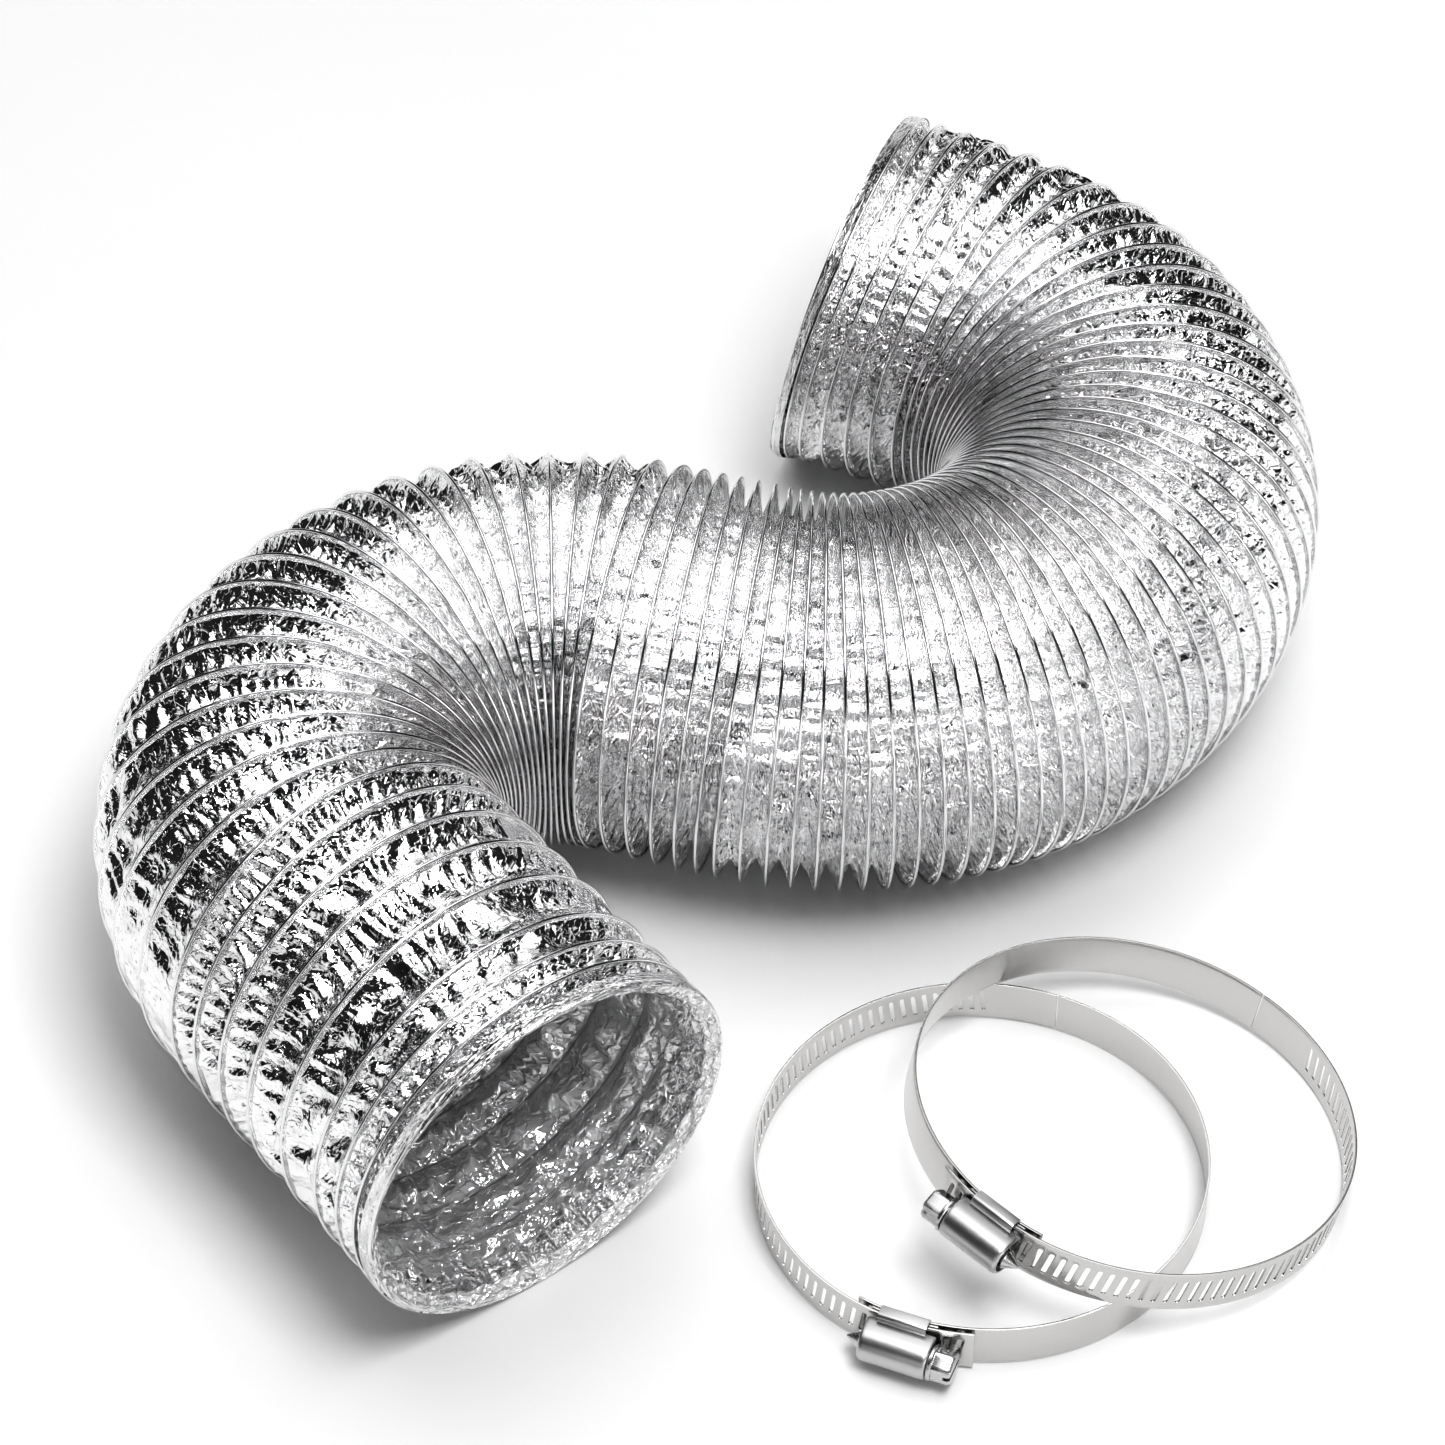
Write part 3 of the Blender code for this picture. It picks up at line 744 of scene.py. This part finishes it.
HEM_COLUMNS = 560
HEM_ROWS = 16
HEM_PROUD = 0.55 * MM
HEM_RADIUS = 52 * MM
HEM_OUTSIDE = 0.16  # the share of the fold's rows that lies outside the duct
HEM_LIP_END = 0.34  # and the share at which its lip ends
HEM_OUTSIDE_LENGTH = HEM_LENGTH * 0.9
HEM_SHEET = TURN * 15 * MM  # the width of the fold, laid flat
LIP_RADIUS = 1.1 * MM
HEM_INWARD = 2.4 * MM  # how far the inside edge stands off the duct's wall
HEM_SINK = 0.25 * MM
HEM_RAGGED = 0.25
HEM_LAP = 8  # the radius of the circle on which the noise round the hem is read, so that it closes
HEM_TUCKS = 29
HEM_TUCK_HEIGHT = 0.35 * MM
HEM_CRUMPLE = 2.2
HEM_CRUMPLE_SINK = 0.3 * MM
HEM_SHEET_SHIFT = 300  # keeps the hems' creases apart from the plies'


def build_hem(name, at_far_end, inside_length, body, seed):
    """Foil folded over the end wire: a little of it outside, a round lip, and a ragged edge inside."""
    around = np.linspace(0, TURN, HEM_COLUMNS, endpoint=False)[:, None] + np.zeros((1, HEM_ROWS + 1))
    share = np.linspace(0, 1, HEM_ROWS + 1)[None, :] + np.zeros((HEM_COLUMNS, 1))
    lap_x = HEM_LAP * np.cos(around)
    lap_y = HEM_LAP * np.sin(around)
    ragged = noise(lap_x * 1.3, lap_y * 1.3, seed) + noise(lap_x * 3, lap_y * 3, seed + 1)
    inward = np.clip((share - HEM_LIP_END) / (1 - HEM_LIP_END), 0, 1)
    lip = np.clip((share - HEM_OUTSIDE) / (HEM_LIP_END - HEM_OUTSIDE), 0, 1)
    depth = HEM_OUTSIDE_LENGTH * np.clip(1 - share / HEM_OUTSIDE, 0, 1)
    depth = depth + inward * inside_length * (1 + HEM_RAGGED * ragged)
    depth = depth + LIP_RADIUS * np.where(share < HEM_LIP_END, 1 - np.sin(lip * math.pi), 1)

    u = around * HEM_RADIUS
    w = HEM_SHEET * share
    folds = crumple(np.abs(u - math.pi * HEM_RADIUS), w + seed * MM, seed + 3)
    tucks = fold(around * HEM_TUCKS + 0.8 * noise(lap_x * 2, lap_y * 2, seed + 5)) * HEM_TUCK_HEIGHT
    radius = WIRE_RADIUS + HEM_PROUD - LIP_RADIUS * (1 - np.cos(lip * math.pi))
    radius = radius - inward * (HEM_INWARD + HEM_SINK)
    radius = radius + (folds * HEM_CRUMPLE - HEM_CRUMPLE_SINK + tucks) * np.sqrt(inward)
    place = LENGTH - depth if at_far_end else depth
    points = duct_point(place, radius, around).reshape(-1, 3)
    number = np.arange(HEM_COLUMNS * (HEM_ROWS + 1)).reshape(HEM_COLUMNS, HEM_ROWS + 1)
    after = np.roll(number, -1, axis=0)
    faces = np.stack((number[:, :-1], after[:, :-1], after[:, 1:], number[:, 1:]), axis=-1).reshape(-1, 4)
    if at_far_end:
        faces = faces[:, ::-1]
    thing = new_object(name, points, faces, HEM_FOIL)
    flat = np.stack((u / MM, w / MM + HEM_SHEET_SHIFT + seed, np.zeros_like(u)), axis=-1)
    add_sheet(thing, flat.reshape(-1, 3))
    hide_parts(name.replace("_fold", ""))
    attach(thing, body)


build_hem("near_hem_fold", False, 9 * MM, "near_cuff", 70)
build_hem("far_hem_fold", True, 6 * MM, "far_cuff", 90)

# ---------------------------------------------------------------- clamps

# A clamp's own frame: the loop's centre is at the origin, the housing at +X and the screw along Y.
BAND_THICKNESS = 0.6 * MM
BAND_WIDTH = 12.7 * MM
HEAD_RADIUS = 57.8 * MM
TAIL_RADIUS_AT_SCREW = 59.6 * MM
HEAD_LAP = 13 * DEG
TAIL_LAP = 17.5 * DEG
TAIL_STRAIGHT_TO = 16 * DEG
SPLIT_GAP = 0.3 * DEG
SLOT_PITCH = 3.05 * DEG
SLOT_WIDTH = 1.3 * MM
SLOT_HEIGHT = 7.6 * MM
SLOT_SLANT = 0.45 * MM
SLOT_FIRST = -14.5 * DEG
SLOT_COUNT = 58
SADDLE_RADIUS = 58.7 * MM
SADDLE_HALF_ANGLE = 8.6 * DEG
SCREW_AXIS = 63.9 * MM
WORM_RADIUS = 3.6 * MM
HOUSING_LENGTH = 18 * MM
HOUSING_FOOT = 57.9 * MM
HOUSING_HALF_WIDTH = 6.65 * MM
HOUSING_WALL = 0.7 * MM
HEX_FLATS = 7.9 * MM
HEX_LENGTH = 5 * MM
COLLAR_RADIUS = 4.8 * MM
TIP_LENGTH = 3.5 * MM
LOWER_CLAMP = (65.4 * MM, -139.3 * MM)
LOWER_FACING = -112 * DEG
UPPER_CLAMP = (102.9 * MM, -130.3 * MM)
UPPER_FACING = -131 * DEG
UPPER_TILT = 10.6 * DEG


def clamp_places():
    """The lower clamp lies flat, turned over. The upper one leans on it, with its far side on the floor."""
    rest_height = HOUSING_HALF_WIDTH + HOUSING_WALL
    lower = (
        Matrix.Translation((*LOWER_CLAMP, rest_height))
        @ Matrix.Rotation(LOWER_FACING, 4, "Z")
        @ Matrix.Rotation(math.pi, 4, "X")
    )
    towards_lower = Vector((*LOWER_CLAMP, 0)) - Vector((*UPPER_CLAMP, 0))
    upper_height = TAIL_RADIUS_AT_SCREW * math.sin(UPPER_TILT) + BAND_WIDTH / 2 * math.cos(UPPER_TILT)
    upper = (
        Matrix.Translation((*UPPER_CLAMP, upper_height))
        @ Matrix.Rotation(UPPER_TILT, 4, towards_lower.cross(UP))
        @ Matrix.Rotation(UPPER_FACING, 4, "Z")
    )
    return lower, upper


def tail_radius(angle):
    """The outside of the tail half, which comes in from over the saddle to meet the head half."""
    share = max(0, angle - TAIL_STRAIGHT_TO) / (math.pi - TAIL_STRAIGHT_TO)
    return TAIL_RADIUS_AT_SCREW + share * (HEAD_RADIUS - TAIL_RADIUS_AT_SCREW)


def band_point(radius, angle, height):
    return Vector((radius * math.cos(angle), radius * math.sin(angle), height))


WELD = 0.001 * MM
BEVEL_STEPS = 2
BEVEL_FROM = 40 * DEG
SHARP_FROM = 35 * DEG


def evaluated_mesh(thing):
    """A new mesh of the object with its modifiers applied."""
    bpy.context.view_layer.update()
    return bpy.data.meshes.new_from_object(thing.evaluated_get(bpy.context.evaluated_depsgraph_get()))


def settle(mesh, name, material, place, thickness, bevel):
    """Makes a steel object of a bmesh: walls of the given thickness, softened edges, and its place."""
    bmesh.ops.remove_doubles(mesh, verts=mesh.verts, dist=WELD)
    bmesh.ops.recalc_face_normals(mesh, faces=mesh.faces)
    data = bpy.data.meshes.new(name)
    mesh.to_mesh(data)
    mesh.free()
    thing = bpy.data.objects.new(name, data)
    bpy.context.scene.collection.objects.link(thing)
    if thickness:
        wall = thing.modifiers.new("wall", "SOLIDIFY")
        wall.thickness = thickness
        wall.offset = 0
    if bevel:
        soften = thing.modifiers.new("soften", "BEVEL")
        soften.width = bevel
        soften.segments = BEVEL_STEPS
        soften.limit_method = "ANGLE"
        soften.angle_limit = BEVEL_FROM
    made = evaluated_mesh(thing)
    thing.modifiers.clear()
    thing.data = made
    bpy.data.meshes.remove(data)
    made.name = name
    made.materials.clear()
    made.materials.append(material)
    made.shade_smooth()
    made.set_sharp_from_angle(angle=SHARP_FROM)
    made.transform(place)
    return thing


# The rows of a band: its edges, a line a little inside them, and the ends of the slots' straight part.
BAND_EDGE = BAND_WIDTH / 2
BAND_LINE = BAND_EDGE * 0.8
SLOT_FLAT = (SLOT_HEIGHT - SLOT_WIDTH) / 2
BAND_STEP = 2.5 * DEG
CAP_POINTS = 8
CELL_HEIGHTS = (SLOT_FLAT, BAND_LINE, BAND_EDGE, BAND_EDGE, BAND_EDGE, BAND_EDGE, BAND_LINE, SLOT_FLAT)
CELL_SIDES = (1, 1, 1, 0.33, -0.33, -1, -1, -1)


def slot_cell(mesh, middle, half, radius_at):
    """One wall panel of the tail with an upright slot with round ends, cut a little on the slant."""
    inner, outer = [], []
    for sign in (1, -1):
        for k in range(CAP_POINTS):
            turn = math.pi * k / (CAP_POINTS - 1)
            across = SLOT_WIDTH / 2 * math.cos(turn) * sign
            height = (SLOT_FLAT + SLOT_WIDTH / 2 * math.sin(turn)) * sign
            slanted = across + SLOT_SLANT * height / SLOT_FLAT
            angle = middle + slanted / TAIL_RADIUS_AT_SCREW
            inner.append(mesh.verts.new(band_point(radius_at(angle), angle, height)))
            angle = middle + half * CELL_SIDES[k] * sign
            outer.append(mesh.verts.new(band_point(radius_at(angle), angle, CELL_HEIGHTS[k] * sign)))
    for k in range(len(inner)):
        n = (k + 1) % len(inner)
        mesh.faces.new((inner[k], outer[k], outer[n], inner[n]))


def plain_grid(mesh, angles, radius_at):
    """Plain band between the angles, on the same rows as a slot cell's sides."""
    heights = (-BAND_EDGE, -BAND_LINE, -SLOT_FLAT, SLOT_FLAT, BAND_LINE, BAND_EDGE)
    rows = [[mesh.verts.new(band_point(radius_at(a), a, h)) for h in heights] for a in angles]
    for left, right in zip(rows, rows[1:]):
        for k in range(len(heights) - 1):
            mesh.faces.new((left[k], right[k], right[k + 1], left[k + 1]))


def steps_between(first, last, step):
    count = max(1, round(abs(last - first) / step))
    return [first + (last - first) * k / count for k in range(count + 1)]


def tail_middle_radius(angle):
    return tail_radius(angle) - BAND_THICKNESS / 2


def tail_mesh():
    """The slotted half of the band, with a plain tip and a plain end towards the head half."""
    mesh = bmesh.new()
    half = SLOT_PITCH / 2
    start = SLOT_FIRST - SLOT_PITCH * 0.3
    for k in range(SLOT_COUNT):
        slot_cell(mesh, start + half + k * SLOT_PITCH, half, tail_middle_radius)
    end = start + SLOT_COUNT * SLOT_PITCH
    plain_grid(mesh, [-TAIL_LAP, start], tail_middle_radius)
    plain_grid(mesh, steps_between(end, math.pi - SPLIT_GAP / 2, BAND_STEP), tail_middle_radius)
    return mesh


def plain_band(first, last, step, radius):
    mesh = bmesh.new()
    plain_grid(mesh, steps_between(first, last, step), lambda angle: radius - BAND_THICKNESS / 2)
    return mesh


def head_mesh():
    return plain_band(math.pi + SPLIT_GAP / 2, TURN + HEAD_LAP, BAND_STEP, HEAD_RADIUS)


def saddle_mesh():
    return plain_band(-SADDLE_HALF_ANGLE, SADDLE_HALF_ANGLE, 1.5 * DEG, SADDLE_RADIUS)


def swept(mesh, outline, stations):
    """Joins copies of an outline in x and z at stations along y: (y, shifts) pairs, and closes the ends."""
    rings = []
    for y, shifts in stations:
        ring = []
        for (x, z), (shift_x, shift_z) in zip(outline, shifts):
            ring.append(mesh.verts.new((x + shift_x, y, z + shift_z)))
        rings.append(ring)
    for left, right in zip(rings, rings[1:]):
        for k in range(len(outline)):
            n = (k + 1) % len(outline)
            mesh.faces.new((left[k], right[k], right[n], left[n]))
    mesh.faces.new(rings[0])
    mesh.faces.new(rings[-1][::-1])


DOME_RADIUS = 5.0 * MM
DOME_STEPS = 20
DOME_SKIRT = 59.95 * MM
DOME_FLARE = 0.1 * MM
# How far the barrel's ends are drawn in, at distances from each end.
DRAWN_ENDS = ((0, 0.75 * MM), (0.25 * MM, 0.38 * MM), (0.7 * MM, 0.1 * MM), (1.3 * MM, 0))
DRAWN_INSIDE = 0.8
DRAWN_SIDEWAYS = 0.4
ROLL_RADIUS = 1.3 * MM
ROLL_STEPS = 8
ROLL_HALF_LENGTH = 6.4 * MM


def dome_outline():
    """The barrel over the screw as a closed outline, and how many of its points are on the outside."""
    outer = [(DOME_SKIRT, -DOME_RADIUS - DOME_FLARE)]
    inner = [(DOME_SKIRT, -DOME_RADIUS + HOUSING_WALL)]
    for k in range(DOME_STEPS + 1):
        turn = math.pi * k / DOME_STEPS - math.pi / 2
        for ring, radius in ((outer, DOME_RADIUS), (inner, DOME_RADIUS - HOUSING_WALL)):
            ring.append((SCREW_AXIS + radius * math.cos(turn), radius * math.sin(turn)))
    outer.append((DOME_SKIRT, DOME_RADIUS + DOME_FLARE))
    inner.append((DOME_SKIRT, DOME_RADIUS - HOUSING_WALL))
    return outer + inner[::-1], len(outer)


def barrel(mesh):
    """The dome over the screw, with its ends drawn in."""
    outline, outer_count = dome_outline()
    half = HOUSING_LENGTH / 2
    ends = [(-half + away, draw) for away, draw in DRAWN_ENDS]
    stations = []
    for y, draw in ends + [(-y, draw) for y, draw in ends[::-1]]:
        shifts = []
        for k, (x, z) in enumerate(outline):
            out = x - SCREW_AXIS
            length = math.hypot(out, z)
            over = draw * (1 if k < outer_count else DRAWN_INSIDE) / length
            up = max(0.0, out) / DOME_RADIUS
            sideways = DRAWN_SIDEWAYS + (1 - DRAWN_SIDEWAYS) * up
            shifts.append((-out * over * up, -z * over * sideways))
        stations.append((y, shifts))
    swept(mesh, outline, stations)


def shoulder(mesh, sign):
    """The rolled shoulder beside the barrel, which wraps under the band."""
    side = HOUSING_HALF_WIDTH + HOUSING_WALL
    corner = (DOME_SKIRT - 0.35 * MM, side - ROLL_RADIUS)
    roll = [(DOME_SKIRT + 0.95 * MM, DOME_RADIUS - 0.2 * MM)]
    for k in range(ROLL_STEPS + 1):
        turn = math.pi / 2 * k / ROLL_STEPS
        roll.append((corner[0] + ROLL_RADIUS * math.cos(turn), corner[1] + ROLL_RADIUS * math.sin(turn)))
    roll += [
        (HOUSING_FOOT - 0.6 * MM, side),
        (HOUSING_FOOT - 1.25 * MM, side - 0.7 * MM),
        (HOUSING_FOOT - 1.25 * MM, side - 2.6 * MM),
        (HOUSING_FOOT - 0.65 * MM, side - 2.6 * MM),
        (HOUSING_FOOT - 0.5 * MM, side - 0.75 * MM),
        (DOME_SKIRT - 0.3 * MM, side - HOUSING_WALL),
        (DOME_SKIRT + 0.25 * MM, side - HOUSING_WALL - 0.5 * MM),
        (DOME_SKIRT + 0.3 * MM, DOME_RADIUS - 0.2 * MM),
    ]
    outline = [(x, z * sign) for x, z in roll]
    still = [(0, 0)] * len(outline)
    swept(mesh, outline, ((-ROLL_HALF_LENGTH, still), (ROLL_HALF_LENGTH, still)))


def housing_mesh():
    mesh = bmesh.new()
    barrel(mesh)
    for sign in (1, -1):
        shoulder(mesh, sign)
    return mesh


WORM_ROWS = 120
WORM_SIDES = 48
WORM_CORE = 0.74 * WORM_RADIUS
WORM_START = 1 * MM  # how far the neck stands out of the housing
NECK_LENGTH = 0.8 * MM  # and how far it goes in, before the thread starts
END_LENGTH = 1 * MM  # of the plain end behind the thread
TIP_FROM = 0.5 * MM
TIP_BASE = 0.86 * WORM_CORE
TIP_POINT = 0.25 * MM
THREAD_STEEP = 2.2
THREAD_SINK = 0.7
HEAD_FROM = 1.4 * MM
COLLAR_BORE = 2.6 * MM
COLLAR_CHAMFER = 0.3 * MM
COLLAR_WIDTH = 1.2 * MM


def worm_radius(y, k):
    """The worm's radius at y along it and at side k: a plain neck, the thread, a plain end and the tip."""
    half = HOUSING_LENGTH / 2
    if y > half + TIP_FROM:
        tip = (y - half - TIP_FROM) / TIP_LENGTH
        return TIP_BASE * (1 - tip) + TIP_POINT
    if y < -half + NECK_LENGTH or y > half - END_LENGTH:
        return WORM_CORE
    phase = (y / (SLOT_PITCH * TAIL_RADIUS_AT_SCREW) - k / WORM_SIDES) % 1
    ridge = min(1, max(0, THREAD_STEEP * (1 - abs(2 * phase - 1)) - THREAD_SINK))
    return WORM_CORE + (WORM_RADIUS - WORM_CORE) * ridge


def join_rings(mesh, rings):
    """Quads between each ring of points and the next."""
    for left, right in zip(rings, rings[1:]):
        for k in range(len(left)):
            n = (k + 1) % len(left)
            mesh.faces.new((left[k], left[n], right[n], right[k]))


def turned_ring(mesh, y, sides, radius_at):
    """A ring of points about the screw's axis, with a radius for each side's number and direction."""
    ring = []
    for k in range(sides):
        turn = TURN * k / sides
        radius = radius_at(k, turn)
        ring.append(mesh.verts.new((SCREW_AXIS + radius * math.cos(turn), y, radius * math.sin(turn))))
    return ring


def screw_mesh():
    """The worm with its thread and pointed tip, a collar, and a hexagon head with a driver slot."""
    mesh = bmesh.new()
    half = HOUSING_LENGTH / 2
    length = WORM_START + HOUSING_LENGTH + TIP_FROM + TIP_LENGTH
    rings = []
    for row in range(WORM_ROWS + 1):
        y = -half - WORM_START + length * row / WORM_ROWS
        rings.append(turned_ring(mesh, y, WORM_SIDES, lambda k, turn: worm_radius(y, k)))
    join_rings(mesh, rings)
    mesh.faces.new(rings[0][::-1])
    mesh.faces.new(rings[-1])
    head = -half - HEAD_FROM
    collar(mesh, head)
    hex_head(mesh, head, head - HEX_LENGTH)
    return mesh


def collar(mesh, head):
    """The round collar between the worm and the hexagon."""
    narrow = COLLAR_RADIUS - COLLAR_CHAMFER
    back = head + COLLAR_WIDTH
    outline = (
        (back, COLLAR_BORE),
        (back, narrow),
        (back - COLLAR_CHAMFER, COLLAR_RADIUS),
        (head + COLLAR_CHAMFER, COLLAR_RADIUS),
        (head, narrow),
        (head, COLLAR_BORE),
    )
    rings = [turned_ring(mesh, y, WORM_SIDES, lambda k, turn: radius) for y, radius in outline]
    join_rings(mesh, rings + rings[:1])


DRIVER_SLOT_WIDTH = 1.2 * MM
DRIVER_SLOT_DEPTH = 1.7 * MM
HEX_SIDES = 48
HEX_CHAMFER = 0.7 * MM
HEX_CHAMFER_SCALE = 0.9
HEX_CORNER = 1.12  # the corners' radius, in half flats


def hex_radius(turn):
    """The hexagon's radius in each direction, with its corners slightly rounded."""
    corner = HEX_FLATS / 2 / math.cos(((turn + 30 * DEG) % (60 * DEG)) - 30 * DEG)
    return min(corner, HEX_FLATS / 2 * HEX_CORNER)


def hex_block(near, far):
    """The hexagon as a mesh, chamfered round its outer face."""
    block = bmesh.new()
    rings = []
    for y, scale in ((near, 1.0), (far + HEX_CHAMFER, 1.0), (far, HEX_CHAMFER_SCALE)):
        rings.append(turned_ring(block, y, HEX_SIDES, lambda k, turn: hex_radius(turn) * scale))
    join_rings(block, rings)
    block.faces.new(rings[0][::-1])
    block.faces.new(rings[-1])
    bmesh.ops.recalc_face_normals(block, faces=block.faces)
    return block


def slot_cutter(far):
    cutter = bmesh.new()
    bmesh.ops.create_cube(cutter, size=1)
    bmesh.ops.scale(cutter, vec=(20 * MM, 2 * DRIVER_SLOT_DEPTH, DRIVER_SLOT_WIDTH), verts=cutter.verts)
    bmesh.ops.translate(cutter, vec=(SCREW_AXIS, far, 0), verts=cutter.verts)
    return cutter


def hex_head(mesh, near, far):
    """Adds the hexagon with the driver slot cut across it."""
    things = []
    for name, part in (("hex", hex_block(near, far)), ("driver", slot_cutter(far))):
        data = bpy.data.meshes.new(name)
        part.to_mesh(data)
        part.free()
        thing = bpy.data.objects.new(name, data)
        bpy.context.scene.collection.objects.link(thing)
        things.append(thing)
    cut = things[0].modifiers.new("cut", "BOOLEAN")
    cut.operation = "DIFFERENCE"
    cut.solver = "EXACT"
    cut.object = things[1]
    made = evaluated_mesh(things[0])
    mesh.from_mesh(made)
    spare = [thing.data for thing in things] + [made]
    for thing in things:
        bpy.data.objects.remove(thing)
    for data in spare:
        bpy.data.meshes.remove(data)


def build_clamp(name, place):
    thin = BAND_THICKNESS
    rows = (
        ("head_band", head_mesh, STEEL, "clamp_steel", thin, 0.1 * MM, name),
        ("tail_band", tail_mesh, STEEL, "clamp_steel", thin, 0.07 * MM, f"{name}_tail"),
        ("saddle", saddle_mesh, STEEL, "clamp_steel", thin, 0.1 * MM, name),
        ("housing", housing_mesh, HOUSING, "clamp_steel", 0, 0.1 * MM, name),
        ("screw", screw_mesh, SCREW, "screw_steel", 0, 0, f"{name}_worm"),
    )
    for part, shape, material, slot, thickness, bevel, body in rows:
        thing = settle(shape(), f"{name}_{part}_fine", material, place, thickness, bevel)
        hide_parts(f"{name}_{part}")
        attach(thing, body)


for clamp_name, clamp_place in zip(("lower_clamp", "upper_clamp"), clamp_places()):
    build_clamp(clamp_name, clamp_place)

# ---------------------------------------------------------------- stage, light and camera

CAMERA_TARGET = Vector((-1.6 * MM, -24.3 * MM, 54 * MM))
CAMERA_ELEVATION = 44.79 * DEG
CAMERA_DISTANCE = 1280.9 * MM
CAMERA_LENS = 119.5


def build_camera():
    data = bpy.data.cameras.new("camera")
    data.sensor_width = 36
    data.lens = CAMERA_LENS
    data.clip_start = 0.05
    camera = bpy.data.objects.new("camera", data)
    bpy.context.scene.collection.objects.link(camera)
    away = Vector((0, -math.cos(CAMERA_ELEVATION), math.sin(CAMERA_ELEVATION)))
    camera.location = CAMERA_TARGET + away * CAMERA_DISTANCE
    camera.rotation_euler = away.to_track_quat("Z", "Y").to_euler()
    bpy.context.scene.camera = camera


# Name, place, target, width and height, watts and spread of each light.
LIGHTS = (
    ("overhead", (0.0, 0.35, 1.3), (0, 0.35, 0), (2.0, 1.4), 4.8, 130 * DEG),
    ("back", (0.0, 1.8, 1.05), (0, 0, 0.05), (1.1, 0.6), 1.4, 180 * DEG),
    ("front", (-0.1, -1.8, 0.6), (0, 0, 0.05), (2.6, 0.7), 3.2, 180 * DEG),
    ("mouth", (0.95, -1.25, 0.42), (-0.07, -0.15, 0.05), (0.8, 0.6), 3.0, 180 * DEG),
    ("key", (0.3, -0.6, 1.5), (0, 0, 0), (0.6, 0.6), 10.5, 180 * DEG),
)


def build_light(name, place, target, size, power, spread):
    data = bpy.data.lights.new(name, "AREA")
    data.shape = "RECTANGLE"
    data.size, data.size_y = size
    data.energy = power
    data.spread = spread
    lamp = bpy.data.objects.new(name, data)
    bpy.context.scene.collection.objects.link(lamp)
    lamp.location = place
    lamp.rotation_euler = (Vector(place) - Vector(target)).to_track_quat("Z", "Y").to_euler()


FLOOR_HALF = 3.0
FLOOR_COLOUR = (0.92, 0.92, 0.92, 1)
FLOOR_ROUGHNESS = 0.9


def build_floor():
    mesh = bpy.data.meshes.new("floor")
    corners = [(x * FLOOR_HALF, y * FLOOR_HALF, 0) for x, y in ((-1, -1), (1, -1), (1, 1), (-1, 1))]
    mesh.from_pydata(corners, [], [(0, 1, 2, 3)])
    material, _, _, surface = node_tree("floor_white")
    surface.inputs["Base Color"].default_value = FLOOR_COLOUR
    surface.inputs["Roughness"].default_value = FLOOR_ROUGHNESS
    mesh.materials.append(material)
    floor = bpy.data.objects.new("floor", mesh)
    bpy.context.scene.collection.objects.link(floor)


# The room's brightness from the dome's dark side to its bright one, which leans to the back.
ROOM_LEVELS = ((0.0, 0.02), (0.55, 0.015), (0.68, 0.03), (0.86, 0.02), (0.92, 0.4), (1.0, 0.6))
DOME_LEAN = (0.0, 0.42, 0.86)
SEEN_LEVEL = 0.9


def grey(level):
    return (level, level, level, 1)


def build_world():
    """A studio whose bright dome leans to the back over a dark horizon, and pale to the camera itself."""
    world = bpy.data.worlds.new("studio")
    bpy.context.scene.world = world
    world.use_nodes = True
    nodes = world.node_tree.nodes
    links = world.node_tree.links
    nodes.clear()
    output = nodes.new("ShaderNodeOutputWorld")
    seen = nodes.new("ShaderNodeBackground")
    seen.inputs["Color"].default_value = grey(SEEN_LEVEL)
    room = nodes.new("ShaderNodeBackground")
    where = nodes.new("ShaderNodeTexCoord")
    lean = vector_node(nodes, links, "DOT_PRODUCT", where.outputs["Generated"], DOME_LEAN)
    height = math_node(nodes, links, "MULTIPLY_ADD", lean, 0.5, 0.5)
    ramp = nodes.new("ShaderNodeValToRGB")
    links.new(height, ramp.inputs["Fac"])
    elements = ramp.color_ramp.elements
    elements[0].color = grey(ROOM_LEVELS[0][1])
    elements[1].color = grey(ROOM_LEVELS[-1][1])
    for position, level in ROOM_LEVELS[1:-1]:
        elements.new(position).color = grey(level)
    links.new(ramp.outputs["Color"], room.inputs["Color"])
    path = nodes.new("ShaderNodeLightPath")
    mix = nodes.new("ShaderNodeMixShader")
    links.new(path.outputs["Is Camera Ray"], mix.inputs[0])
    links.new(room.outputs[0], mix.inputs[1])
    links.new(seen.outputs[0], mix.inputs[2])
    links.new(mix.outputs[0], output.inputs["Surface"])


build_camera()
build_floor()
build_world()
for light in LIGHTS:
    build_light(*light)
bpy.context.scene.view_settings.view_transform = "Standard"
bpy.context.scene.view_settings.look = "High Contrast"
